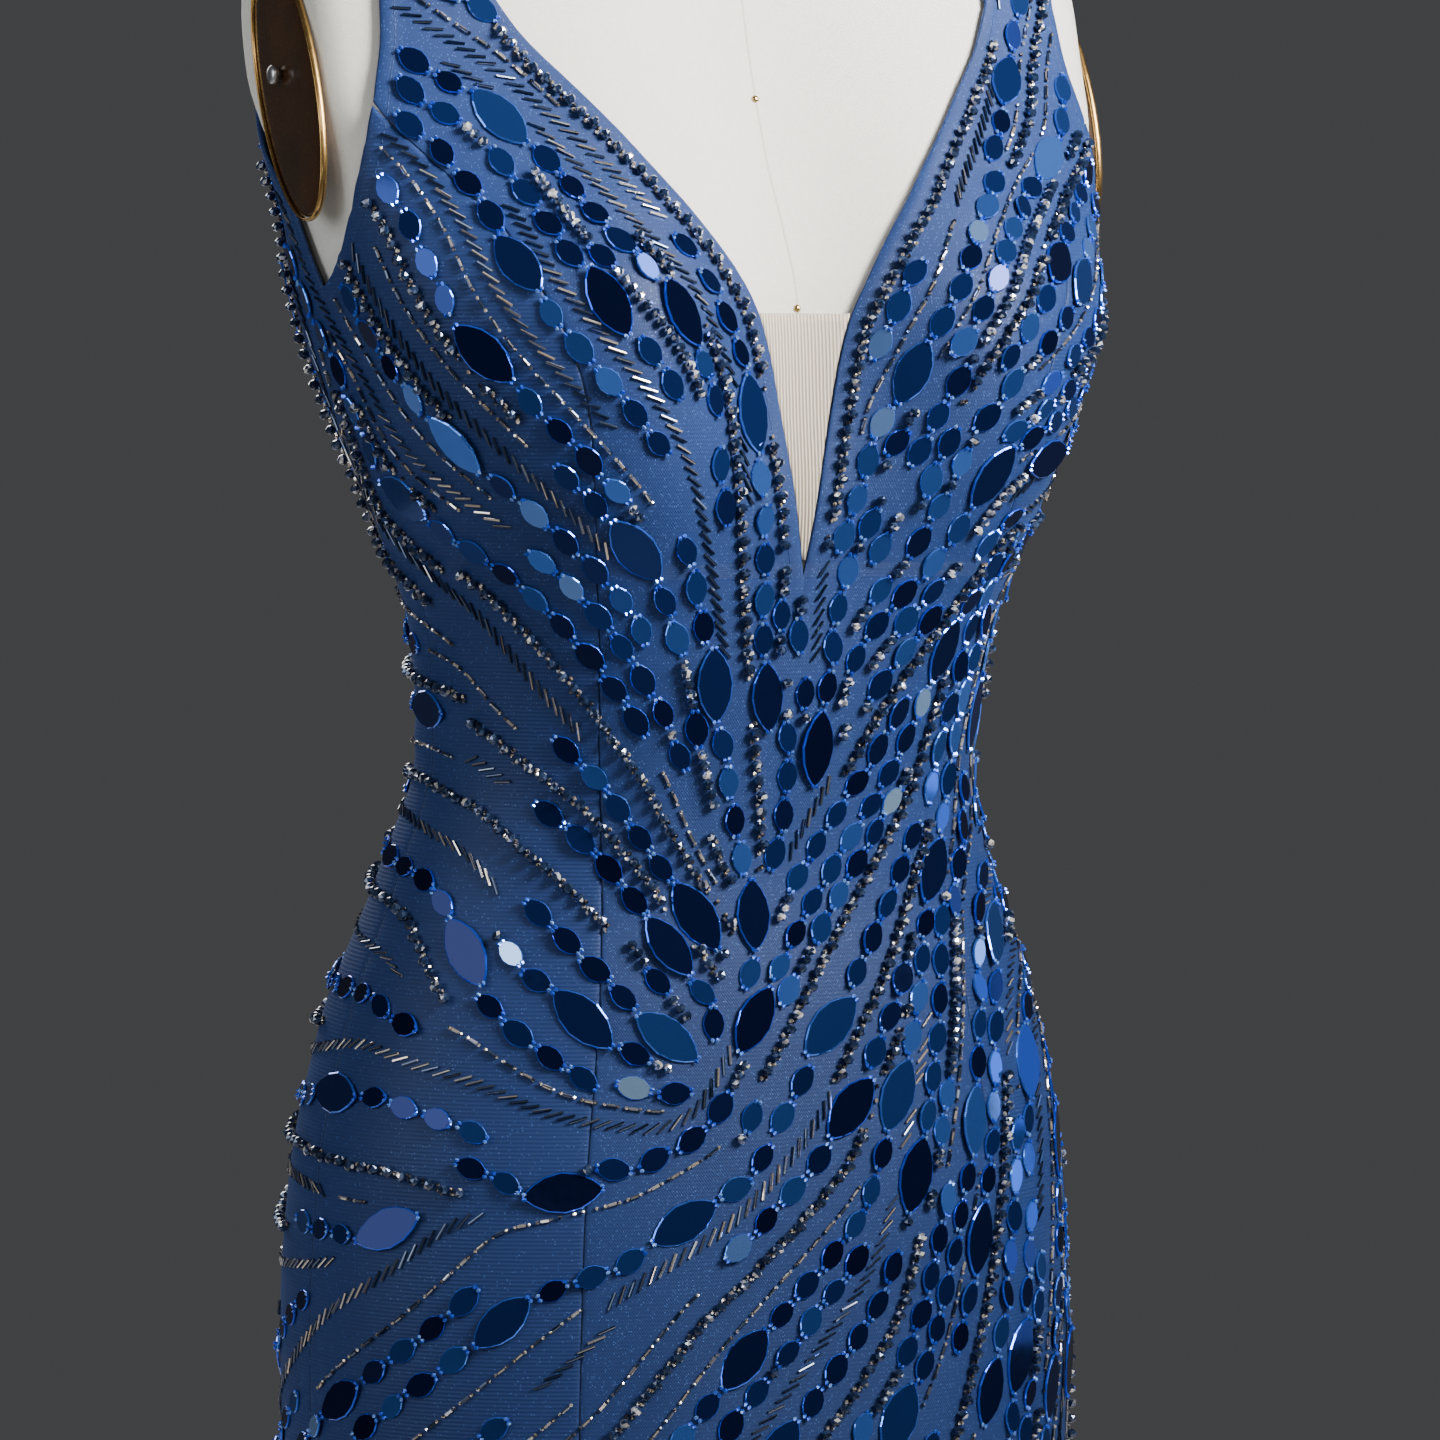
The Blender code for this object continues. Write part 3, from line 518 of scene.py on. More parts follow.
THREADS = make_threads_group()
print("group:", THREADS.name)


# %% Node group: glitter specks with painted glints
def make_glitter_glint_group():
    """Small round specks, of which only some get a painted glint, as if they catch the light."""
    group, given, made = new_group("glitter_painted_glints", {
        "Vector": None, "Specks per m": 600.0, "Lit share": 0.1, "Size": 0.3}, ("Mask",))
    cells = add(group, "TexVoronoi", {"Vector": given["Vector"], "Scale": given["Specks per m"]})
    pick = add(group, "SeparateXYZ", {0: cells["Color"]})
    lit = calc(group, "LESS_THAN", pick[0], given["Lit share"])
    near = calc(group, "LESS_THAN", cells["Distance"], given["Size"])
    strength = calc(group, "MULTIPLY_ADD", pick[1], 0.6, 0.4)
    shown = calc(group, "MULTIPLY", lit, near)
    fill(group, made, {"Mask": calc(group, "MULTIPLY", shown, strength)})
    return group


GLITTER_GLINTS = make_glitter_glint_group()
print("group:", GLITTER_GLINTS.name)


# %% Node group: slow colour change
def make_mottle_group():
    group, given, made = new_group("slow_colour", {
        "Vector": None, "Patches per m": 20.0, "Colour": (1, 1, 1, 1),
        "Other colour": (1, 1, 1, 1), "Contrast": 1.0}, ("Colour", "Mask"))
    noise = add(group, "TexNoise", {"Detail": 3.0, "Vector": given["Vector"],
                                    "Scale": given["Patches per m"]})
    scaled = calc(group, "MULTIPLY", calc(group, "SUBTRACT", noise[0], 0.5), given["Contrast"])
    mask = calc(group, "MULTIPLY_ADD", scaled, 2.0, 0.5, clamp=True)
    colour = mix_colour(group, mask, given["Colour"], given["Other colour"])
    fill(group, made, {"Colour": colour, "Mask": mask})
    return group


MOTTLE = make_mottle_group()
print("group:", MOTTLE.name)


# %% Node group: light wear
def make_wear_group():
    """Fine rubbing: the gloss breaks up a little and small marks show."""
    group, given, made = new_group("light_wear", {
        "Vector": None, "Marks per m": 200.0, "Smoothest": 0.1, "Roughest": 0.3},
        ("Roughness", "Height"))
    noise = add(group, "TexNoise", {"Detail": 5.0, "Vector": given["Vector"],
                                    "Scale": given["Marks per m"]})
    span = calc(group, "SUBTRACT", given["Roughest"], given["Smoothest"])
    rough = calc(group, "MULTIPLY_ADD", noise[0], span, given["Smoothest"])
    fill(group, made, {"Roughness": rough, "Height": noise[0]})
    return group


WEAR = make_wear_group()
print("group:", WEAR.name)


# %% Start a material
def start_material(name):
    """A material with its shader and the outputs of a texture coordinate node."""
    finish = bpy.data.materials.new(name)
    finish.use_nodes = True
    tree = finish.node_tree
    return finish, tree, tree.nodes["Principled BSDF"], tree.nodes.new(
        "ShaderNodeTexCoord").outputs


def mottled(tree, place, patches, colour, other, contrast):
    return add(tree, "Group", {
        "Vector": place["Object"], "Patches per m": patches, "Colour": (*colour, 1),
        "Other colour": (*other, 1), "Contrast": contrast}, node_tree=MOTTLE)


def woven(tree, place, across, along, rib):
    return add(tree, "Group", {"Vector": place["UV"], "Across per mm": across,
                               "Along per mm": along, "Rib share": rib}, node_tree=THREADS)


def worn(tree, place, marks, smooth, rough):
    return add(tree, "Group", {"Vector": place["Object"], "Marks per m": marks,
                               "Smoothest": smooth, "Roughest": rough}, node_tree=WEAR)


def bump(tree, height, strength, distance_mm):
    return add(tree, "Bump", {"Strength": strength, "Distance": distance_mm * MM,
                              "Height": height})[0]


print("finish helpers:", mottled.__name__, woven.__name__, worn.__name__, bump.__name__)

# %% [markdown]
# ## Gown cloth
# The gown is a blue stretch cloth with a fine crosswise rib, under a net with
# glitter. The rib shows best where few beads lie, at the sides; the glitter
# shows in front, where more of its specks get a painted glint. One maker's
# function gives both, with other values.

# %% Gown cloth finishes
def make_gown_cloth(name, rib, lit, tint):
    finish, tree, shader, place = start_material(name)
    slow = mottled(tree, place, 9.0, (0.0085 * tint, 0.0255 * tint, 0.104 * tint),
                   (0.012 * tint, 0.033 * tint, 0.127 * tint), 1.4)
    threads = woven(tree, place, 0.9, 0.6, rib)
    # painted glints: a share of the net's glitter specks gets a brighter blue base colour
    specks = add(tree, "Group", {"Vector": place["Object"], "Specks per m": 1150.0,
                                 "Lit share": lit, "Size": 0.30}, node_tree=GLITTER_GLINTS)
    dark = calc(tree, "MULTIPLY_ADD", threads["Height"], 0.30, 0.0)
    ribbed = mix_colour(tree, dark, slow["Colour"], (0.024, 0.056, 0.192, 1))
    fill(tree, shader, {
        "Base Color": mix_colour(tree, specks["Mask"], ribbed, (0.08, 0.165, 0.44, 1)),
        "Roughness": calc(tree, "MULTIPLY_ADD", specks["Mask"], -0.35, 0.56),
        "Sheen Weight": 0.16, "Sheen Roughness": 0.4, "Sheen Tint": (0.27, 0.45, 1.0, 1),
        "Specular IOR Level": 0.25, "Normal": bump(tree, threads["Height"], 0.55, 0.18)})
    return finish


# the front gets twice the sides' share of painted glints, and the lining none
CLOTH_FRONT = make_gown_cloth("gown_cloth_front", 0.35, 0.24, 1.0)
CLOTH_SIDE = make_gown_cloth("gown_cloth_side", 0.85, 0.12, 0.96)
CLOTH_INSIDE = make_gown_cloth("gown_lining", 0.5, 0.0, 0.7)
print("cloth finishes:", CLOTH_FRONT.name, CLOTH_SIDE.name, CLOTH_INSIDE.name)


# %% Mesh insert, cotton and thread
def make_insert_mesh():
    """Ribbed net, with painted shade that darkens it toward the foot of the V."""
    finish, tree, shader, place = start_material("beige_power_mesh")
    threads = woven(tree, place, 1.1, 0.62, 0.8)
    split = add(tree, "SeparateXYZ", {0: place["Object"]})
    # painted shade: the net's colour darkens toward the foot of the V, between the busts
    low = add(tree, "MapRange", {0: split[2], "From Min": (WAIST_HEIGHT + 90) * MM,
                                 "From Max": (WAIST_HEIGHT + 186) * MM})
    net_and_painted_shade = mix_colour(tree, low[0], (0.17, 0.125, 0.085, 1), (0.37, 0.30, 0.225, 1))
    fill(tree, shader, {
        "Base Color": mix_colour(tree, threads["Mask"], net_and_painted_shade, (0.80, 0.71, 0.60, 1)),
        "Roughness": 0.75, "Sheen Weight": 0.2,
        "Normal": bump(tree, threads["Height"], 0.6, 0.25)})
    return finish


def make_cotton():
    """Plain weave with slubs, and a seam down its middle."""
    finish, tree, shader, place = start_material("cream_cotton")
    slow = mottled(tree, place, 7.0, (0.80, 0.77, 0.70), (0.86, 0.835, 0.77), 1.2)
    threads = woven(tree, place, 0.85, 0.85, 0.0)
    slubs = add(tree, "TexNoise", {"Scale": 420.0, "Vector": place["UV"]})[0]
    speck = calc(tree, "MULTIPLY", threads["Mask"], slubs)
    cover = mix_colour(tree, calc(tree, "MULTIPLY", speck, 0.85), slow["Colour"],
                       (0.42, 0.38, 0.30, 1))
    off_middle = calc(tree, "ABSOLUTE", add(tree, "SeparateXYZ", {0: place["Object"]})[0])
    seam = calc(tree, "SUBTRACT", 1.0, calc(tree, "DIVIDE", off_middle, 0.9 * MM), clamp=True)
    grain = calc(tree, "MULTIPLY_ADD", slubs, 0.8, threads["Height"])
    dipped = calc(tree, "MULTIPLY_ADD", seam, -2.0, grain)
    fill(tree, shader, {
        "Base Color": mix_colour(tree, calc(tree, "MULTIPLY", seam, 0.4), cover,
                                 (0.30, 0.27, 0.21, 1)),
        "Roughness": 0.85, "Sheen Weight": 0.25, "Normal": bump(tree, dipped, 0.7, 0.15)})
    return finish


def make_thread(name, colour):
    finish, tree, shader, place = start_material(name)
    slow = mottled(tree, place, 900.0, colour, [0.6 * c for c in colour], 2.0)
    fill(tree, shader, {"Base Color": slow["Colour"], "Roughness": 0.6,
                        "Normal": bump(tree, slow["Mask"], 0.5, 0.1)})
    return finish


INSERT_MESH = make_insert_mesh()
COTTON = make_cotton()
BLUE_THREAD = make_thread("blue_thread", (0.030, 0.075, 0.24))
print("finishes:", INSERT_MESH.name, COTTON.name, BLUE_THREAD.name)


# %% [markdown]
# ## Hard finishes
# Polished brown plates, thin gold rims, steel, black lacquer and brass pins
# share one function: a colour that changes slowly, and gloss that wear
# breaks up. Only the values differ.

# %% Hard finishes
def make_hard(name, colour, other, smooth, rough, metallic=1.0, coat=0.0, marks=220.0,
              relief=0.05):
    finish, tree, shader, place = start_material(name)
    slow = mottled(tree, place, 30.0, colour, other, 1.3)
    wear = worn(tree, place, marks, smooth, rough)
    fill(tree, shader, {
        "Base Color": slow["Colour"], "Roughness": wear["Roughness"], "Metallic": metallic,
        "Coat Weight": coat, "Coat Roughness": 0.08,
        "Normal": bump(tree, wear["Height"], 0.25, relief)})
    return finish


BRONZE = make_hard("brown_polish", (0.042, 0.017, 0.0045), (0.085, 0.032, 0.007), 0.20, 0.34,
                   metallic=0.45, coat=0.5)
GOLD_RIM = make_hard("gold_rim", (0.46, 0.27, 0.09), (0.58, 0.36, 0.13), 0.16, 0.34)
STEEL = make_hard("satin_steel", (0.52, 0.52, 0.53), (0.62, 0.62, 0.63), 0.22, 0.42)
BLACK_IRON = make_hard("black_lacquer", (0.018, 0.018, 0.020), (0.03, 0.03, 0.032), 0.3, 0.5,
                       metallic=0.0, coat=0.3, marks=700.0, relief=0.12)
BRASS_PIN = make_hard("brass_pin", (0.50, 0.34, 0.12), (0.62, 0.44, 0.2), 0.15, 0.3)
ZIP_METAL = make_hard("zip_lacquer", (0.05, 0.085, 0.22), (0.07, 0.11, 0.27), 0.2, 0.4,
                      metallic=0.7)
print("hard finishes:", [finish.name for finish in (BRONZE, GOLD_RIM, STEEL, BLACK_IRON,
                                                    BRASS_PIN, ZIP_METAL)])


# %% [markdown]
# ## Stones and beads
# A mirror stone has a dark blue face and a bright bevel. Beads are glass with
# a silver lining. What makes them live is that no two catch the same light,
# so each one carries a number, its tone, and the finish reads that number.
# The bright end of the face and bead ramps is painted: reflections on the
# mirror faces, glints on the beads.

# %% Stone and bead finishes
def make_bead_finish(name, tones, smooth, rough, metallic, coat=0.0):
    """tones: place, red, green and blue of a ramp that each bead's tone picks from; the bright top
    stops of the face and bead ramps are painted reflections and glints.
    """
    finish, tree, shader, place = start_material(name)
    tone = tree.nodes.new("ShaderNodeAttribute")
    tone.attribute_name = "tone"
    ramp = tree.nodes.new("ShaderNodeValToRGB")
    stops = ramp.color_ramp.elements
    stops[0].position, stops[1].position = tones[0][0], tones[-1][0]
    for at, _, _, _ in tones[1:-1]:
        stops.new(at)
    for stop, (_, *colour) in zip(stops, tones):
        stop.color = (*colour, 1)
    fill(tree, ramp, {0: tone.outputs["Fac"]})
    fill(tree, shader, {
        "Base Color": ramp.outputs[0], "Metallic": metallic, "Coat Weight": coat,
        "Coat Roughness": 0.03, "Roughness": worn(tree, place, 260.0, smooth, rough)["Roughness"]})
    return finish


# painted reflections: the dark navy stops are the faces' own colour; the slate, royal and sky-blue
# stops stand in for lamps and room seen in the mirror
STONE_FACE = make_bead_finish("mirror_face", (
    (0.0, 0.005, 0.009, 0.046), (0.34, 0.008, 0.017, 0.088), (0.64, 0.014, 0.040, 0.190),
    (0.86, 0.030, 0.095, 0.360), (0.96, 0.07, 0.21, 0.75), (1.0, 0.45, 0.70, 1.0)),
    0.02, 0.07, 0.78)
STONE_RIM = make_bead_finish("mirror_bevel", (
    (0.0, 0.020, 0.090, 0.90), (1.0, 0.10, 0.30, 1.0)), 0.10, 0.22, 0.78, 0.6)
# painted glints: the smoky crystal's gold, silver and white top stops; its dark lower stops are
# the glass's own colour
CRYSTAL = make_bead_finish("smoky_crystal", (
    (0.0, 0.008, 0.018, 0.052), (0.50, 0.028, 0.052, 0.125), (0.72, 0.080, 0.120, 0.23),
    (0.82, 0.50, 0.44, 0.38), (0.90, 0.80, 0.84, 0.95), (1.0, 1.0, 0.96, 0.90)),
    0.02, 0.07, 0.5, 1.0)
# the seeds' and bugles' champagne top stops are partly the silver lining and partly painted glints
SEED = make_bead_finish("silver_lined_seed", (
    (0.0, 0.012, 0.020, 0.045), (0.50, 0.07, 0.075, 0.10), (0.74, 0.62, 0.50, 0.36),
    (1.0, 1.0, 0.93, 0.82)), 0.10, 0.22, 0.75, 0.6)
BUGLE = make_bead_finish("silver_lined_bugle", (
    (0.0, 0.012, 0.024, 0.060), (0.40, 0.045, 0.070, 0.13), (0.64, 0.15, 0.175, 0.24),
    (0.80, 0.40, 0.37, 0.36), (0.92, 0.95, 0.74, 0.54), (1.0, 1.0, 0.92, 0.82)),
    0.06, 0.16, 0.75, 0.6)
# the blue seeds' light-blue top stop is a painted glint
TIP = make_bead_finish("blue_seed", (
    (0.0, 0.02, 0.07, 0.60), (0.6, 0.05, 0.18, 1.0), (1.0, 0.25, 0.48, 1.0)),
    0.08, 0.2, 0.5, 0.6)
print("bead finishes:", [finish.name for finish in (STONE_FACE, STONE_RIM, CRYSTAL, SEED,
                                                    BUGLE, TIP)])

# %% [markdown]
# ## Cutting the panels
# Each panel is a grid of rows of equal count. Near an edge the columns crowd
# together, because the turned edge and the seam's dip are only a millimetre
# or two wide, and elsewhere they spread out to save points.

# %% Columns and rows of a panel
LEAD = np.array((0.0, 0.7, 1.8, 4.2, 5.6, 7.0))  # millimetres from an edge
ROW_STEP = 8.0
SIDE_SEAM, BACK_SEAM = math.pi / 2, math.pi


def shares(width, count):
    """Places from 0 to 1 across a panel that is `width` wide."""
    lead = LEAD / width
    return np.concatenate([lead[:-1], np.linspace(lead[-1], 1 - lead[-1], count + 1),
                           1 - lead[-2::-1]])


def columns(first, last, height, count):
    """The same, for the cloth between two angles at a height."""
    return shares(runs(figure(np.linspace(first, last, 24), height))[-1], count)


def level_row(first, last, height, count):
    share = columns(first, last, height, count)
    return first + (last - first) * share, np.full_like(share, height)


def levels(low, high, step=ROW_STEP):
    return np.linspace(low, high, max(2, int(round((high - low) / step)) + 1))


def rows_up(low, high):
    """Heights that crowd at the hem."""
    return np.concatenate([low + LEAD[:-1], levels(low + LEAD[-1], high)])


def seam_side(seam, height, side):
    """The angle half a gap to one side of a seam, which is a table or an angle."""
    angle = float(seam_angle(seam, height)) if isinstance(seam, tuple) else seam
    return angle + side * float(half_gap(angle, height))


def mirrored(rows):
    return [(-angle[::-1], height[::-1]) for angle, height in rows]


print("columns of a 120 mm panel:", len(shares(120.0, 12)))


# %% Front centre panel
FRONT_COUNT, SIDE_COUNT, BACK_COUNT = 19, 15, 26
STRAP_ROWS = 8


def front_rows():
    """Rows of the skirt, then of the left of the V."""
    skirt, left = [], []
    for height in rows_up(HEM, V_POINT):
        half, _ = level_row(0.0, seam_side(PRINCESS, height, -1), height, FRONT_COUNT)
        angle = np.concatenate([-half[:0:-1], half])
        skirt.append((angle, np.full_like(angle, height)))
    for height in levels(V_POINT, STRAP_START, 6.0)[1:]:
        inner = float(smooth_curve(FRONT_NECK, 1, height))
        edge = (seam_side(PRINCESS, height, -1) if height <= ARMHOLE_PRINCESS
                else float(seam_angle(ARMHOLE_FRONT, height)))
        outer = flat_x(edge, height)
        share = columns(float(angle_of(inner, height)), edge, height, FRONT_COUNT)
        left.append((angle_of(inner + (outer - inner) * share, height),
                     np.full_like(share, height)))
    return skirt, left + strap_rows(FRONT_NECK[-1][1], outer, FRONT_COUNT, False)


def strap_rows(inner, outer, count, at_back):
    rows = []
    for turn in np.linspace(0, 1, STRAP_ROWS)[1:]:
        low = inner + (RIDGE_IN - inner) * turn
        high = outer + (RIDGE_OUT - outer) * turn
        x = low + (high - low) * shares(high - low, count)
        height = strap_height(x, turn)
        angle = angle_of(x, height, at_back)
        if turn == 1:
            away = half_gap(np.full(len(x), SIDE_SEAM), height)
            angle = SIDE_SEAM + (away if at_back else -away)
        rows.append((angle, height))
    return rows


FRONT_SKIRT, FRONT_LEFT = front_rows()
print("front rows:", len(FRONT_SKIRT), "and", len(FRONT_LEFT))


# %% Side front and back panels
ARMHOLE_RUN = 230.0  # millimetres of cloth from the waist to the armhole
ARMHOLE_TURN = 1.2  # how soon the back's rows turn from the armhole's to the neck's height
SLANT_LEVEL, BACK_LEVEL = 0.9, 170.0  # slanting rows are measured at a level between their ends


def side_rows():
    rows = [level_row(seam_side(PRINCESS, height, 1), seam_side(SIDE_SEAM, height, -1), height,
                      SIDE_COUNT) for height in rows_up(HEM, 0.0)]
    edge_height, edge_angle = np.array(ARMHOLE_FRONT[::-1], float).T
    first = math.radians(73.0)
    for climb in np.concatenate([levels(0.0, 1.0, 1 / 32.0)[1:-1],
                                 1 - LEAD[5:0:-1] / ARMHOLE_RUN, [1.0]]):
        height = ARMHOLE_PRINCESS * climb
        inner = seam_side(PRINCESS, height, 1)
        outer = seam_side(SIDE_SEAM, ARMHOLE_FOOT * climb, -1)
        share = columns(inner, outer, SLANT_LEVEL * height, SIDE_COUNT)
        tops = np.interp(first + (SIDE_SEAM - first) * share, np.radians(edge_angle), edge_height)
        tops[0], tops[-1] = ARMHOLE_PRINCESS, ARMHOLE_FOOT
        rows.append((inner + (outer - inner) * share, tops * climb))
    return rows


def back_rows():
    """The wearer's left back, from the side seam to the middle of the back."""
    rows = [level_row(seam_side(SIDE_SEAM, height, 1), seam_side(BACK_SEAM, height, -1), height,
                      BACK_COUNT) for height in rows_up(HEM, 0.0)]
    for climb in levels(0.0, 1.0, 1 / 24.0)[1:]:
        share = columns(SIDE_SEAM, BACK_SEAM, BACK_LEVEL * climb, BACK_COUNT)
        height = climb * (ARMHOLE_FOOT + (BACK_V_POINT - ARMHOLE_FOOT) * share ** ARMHOLE_TURN)
        side, middle = seam_side(SIDE_SEAM, height[0], 1), seam_side(BACK_SEAM, height[-1], -1)
        rows.append((side + (middle - side) * share, height))
    for climb in levels(0.0, 1.0, 1 / 26.0)[1:]:
        arm_height = ARMHOLE_FOOT + (STRAP_START - ARMHOLE_FOOT) * climb
        neck_height = BACK_V_POINT + (STRAP_START - BACK_V_POINT) * climb
        arm = float(seam_angle(ARMHOLE_BACK, arm_height))
        arm_x, neck_x = flat_x(arm, arm_height), float(smooth_curve(BACK_NECK, 1, neck_height))
        neck = float(angle_of(neck_x, neck_height, True))
        share = columns(arm, neck, (arm_height + neck_height) / 2, BACK_COUNT)
        bow = share + (share ** ARMHOLE_TURN - share) * (1 - climb)
        height = arm_height + (neck_height - arm_height) * bow
        by_x = angle_of(arm_x + (neck_x - arm_x) * share, height, True)
        by_x[0], by_x[-1] = arm, neck
        even = arm + (neck - arm) * share
        rows.append((even + (by_x - even) * climb ** 2, height))
    straps = strap_rows(BACK_NECK[-1][1], strap_x(ARMHOLE_BACK), BACK_COUNT, True)
    return rows + [(angle[::-1], height[::-1]) for angle, height in straps]


SIDE_LEFT = side_rows()
BACK_LEFT = back_rows()
print("side rows:", len(SIDE_LEFT), "back rows:", len(BACK_LEFT))


# %% Sew a panel from its rows
UNDERSIDE = 0.15  # the cloth's inner face, over the body surface


def panel_grid(row_sets):
    """Joins sets of rows; a later set starts on points of the first set."""
    angles, heights, across, faces, index = [], [], [], [], []
    for rows, start in row_sets:
        before = None if start is None else [index[start[0]][i] for i in start[1]]
        for angle, height in rows:
            run = runs(figure(angle, height))
            now = list(range(len(angles), len(angles) + len(angle)))
            angles.extend(angle)
            heights.extend(height)
            across.extend(run - run[-1] / 2)
            if before is not None:
                faces += [(before[i], before[i + 1], now[i + 1], now[i])
                          for i in range(len(now) - 1)]
            index.append(now)
            before = now
    return np.array(angles), np.array(heights), np.array(across), faces


def sew_wall(name, node, top, under, faces, uv, finishes):
    """Cloth with an outer face, an inner face in the last finish, and a rim."""
    edges = {(a, b) for face in faces for a, b in zip(face, face[1:] + face[:1])}
    open_edges = sorted((a, b) for a, b in edges if (b, a) not in edges)
    count = len(top)
    rim = [(b, a, a + count, b + count) for a, b in open_edges]
    inside = [tuple(i + count for i in face[::-1]) for face in faces]
    which = [0] * len(faces) + [len(finishes) - 1] * len(inside) + [0] * len(rim)
    piece = make_piece(name, np.concatenate([top, under]), faces + inside + rim, finishes,
                       which, np.tile(np.stack(uv, axis=1), (2, 1)))
    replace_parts(piece, node)
    print(name, "faces:", len(which))
    return piece


def sew_panel(node, row_sets, outside, flat, area):
    angle, height, across, faces = panel_grid(row_sets)
    piece = sew_wall(node + "_cloth", node, cloth_top(angle, height),
                     figure(angle, height) + UNDERSIDE * outward(angle, height), faces,
                     (across, height), [outside, CLOTH_INSIDE])
    return piece, flat, area


# %% Sew the five panels
middle_column = (len(FRONT_SKIRT[0][0]) - 1) // 2
top_row = len(FRONT_SKIRT) - 1
left_start = (top_row, range(middle_column, 2 * middle_column + 1))
right_start = (top_row, range(0, middle_column + 1))
FRONT_SETS = [(FRONT_SKIRT, None), (FRONT_LEFT, left_start), (mirrored(FRONT_LEFT), right_start)]
PANELS = [sew_panel("front_centre", FRONT_SETS, CLOTH_FRONT, (0.46, 1.44), 0.348)]
for half, rows, flat, area in (("side_front", SIDE_LEFT, (0.24, 1.36), 0.187),
                               ("back", BACK_LEFT, (0.47, 1.46), 0.369)):
    for hand, side in (("_left", rows), ("_right", mirrored(rows))):
        PANELS.append(sew_panel(half + hand, [(side, None)], CLOTH_SIDE, flat, area))
print("panels:", len(PANELS), "cloth:", round(sum(area for _, _, area in PANELS), 2), "m2")


# %% Mesh insert in the foot of the V
INSERT_FOOT, INSERT_TOP, INSERT_THICK = 84.0, 186.0, 0.75
INSERT_GAP, RIB_APART, RIB_RISE = 0.47, 1.6, 0.10


def make_insert():
    rows = []
    for height in levels(INSERT_FOOT, INSERT_TOP, 4.0):
        half = float(smooth_curve(FRONT_NECK, 1, height)) - INSERT_GAP
        x = half * np.linspace(-1, 1, 17)
        rows.append((angle_of(x, height), np.full_like(x, height)))
    angle, height, across, faces = panel_grid([(rows, None)])
    base, normal = figure(angle, height), outward(angle, height)
    rib = RIB_RISE * np.cos(across * 2 * math.pi / RIB_APART)
    uv = (height, across)  # the ribs run up and down
    return sew_wall("mesh_insert_cloth", "mesh_insert",
                    base + (INSERT_THICK + rib)[:, None] * normal, base + UNDERSIDE * normal,
                    faces, uv, [INSERT_MESH])


INSERT = make_insert()
print("insert top width:", round(2 * float(smooth_curve(FRONT_NECK, 1, INSERT_TOP))), "mm")

# %% [markdown]
# ## The form under the gown
# A dress form is a padded shell with a tight cotton cover. The cover is one
# smooth skin from the same body surface, set 2 mm in so that the gown clears
# it, and cut flat at the arms, where brown plates are screwed on.

# %% Cotton torso
FORM_FOOT, NECK_TOP, ARM_CUT = -300.0, 440.0, 184.0
CLEARANCE = 2.0
ARM_EASE, EASE_HEIGHT, EASE_SPREAD = 1.8, 195.0, 30.0
CUT_SOFT = 1.2  # how softly the torso turns into the flat cut at the arm


def torso_ring(height, angle):
    ease = math.exp(-((height - EASE_HEIGHT) / EASE_SPREAD) ** 2 / 2)
    clear = CLEARANCE + ARM_EASE * ease * np.sin(angle) ** 2
    ring = figure(angle, height) - clear[:, None] * outward(angle, height)
    over = np.abs(ring[:, 0]) - ARM_CUT
    ring[:, 0] -= np.sign(ring[:, 0]) * CUT_SOFT * np.logaddexp(0, over / CUT_SOFT)
    if height in (FORM_FOOT, NECK_TOP):
        ring[:, 2] = height + WAIST_HEIGHT
    return ring


def make_torso():
    angle = np.linspace(-math.pi, math.pi, 145)
    heights = np.concatenate([np.linspace(FORM_FOOT, 320, 92), np.linspace(320, 400, 34)[1:],
                              np.linspace(400, NECK_TOP, 9)[1:]])
    rows = [torso_ring(height, angle) for height in heights]
    width, last = len(angle), (len(rows) - 1) * len(angle)
    faces = [(k + i, k + i + 1, k + width + i + 1, k + width + i)
             for k in range(0, last, width) for i in range(width - 1)]
    faces += [tuple(range(width - 2, -1, -1)), tuple(range(last, last + width - 1))]
    uv = [np.stack([runs(row), np.full(width, height)], axis=1)
          for row, height in zip(rows, heights)]
    piece = make_piece("form_cover", np.concatenate(rows), faces, [COTTON],
                       uv=np.concatenate(uv))
    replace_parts(piece, "form_torso")
    return piece


FORM = make_torso()
print("form faces:", len(FORM.data.polygons))

# %% Arm plates, rims and knobs
PLATE_Y, PLATE_UP, PLATE_LEAN = 7.0, 280.0, math.radians(25.0)
PLATE_WIDE, PLATE_LONG = 26.0, 59.0
PLATE_LAYERS = (  # over the arm's cut, growth of the oval
    (0.35, 0.0), (1.7, 0.0), (2.3, -0.5), (2.7, -1.6), (2.95, -5.0), (3.1, -12.0), (3.15, -20.0))
RIM_GROWTH, RIM_OUT = (1.1, 0.75), (2.0, 1.6)  # middle and radius of the rim's bead
KNOB_Y, KNOB_UP = PLATE_Y + 6.0, PLATE_UP + 5.0
KNOB_LAYERS = (  # over the arm's cut, radius
    (3.3, 2.4), (4.9, 2.4), (5.1, 3.7), (5.4, 4.0), (6.8, 4.0), (7.4, 3.8), (7.9, 3.1),
    (8.2, 2.0), (8.3, 0.8))


def plate_oval(grow, out, side, count=72):
    turn = full_turn(count)
    across = (PLATE_WIDE + grow) * np.cos(turn)
    along = (PLATE_LONG + grow) * np.sin(turn)
    y = PLATE_Y + across * math.cos(PLATE_LEAN) + along * math.sin(PLATE_LEAN)
    z = WAIST_HEIGHT + PLATE_UP - across * math.sin(PLATE_LEAN) + along * math.cos(PLATE_LEAN)
    return np.stack([np.full(count, side * (ARM_CUT + out)), y, z], axis=1)[::side]


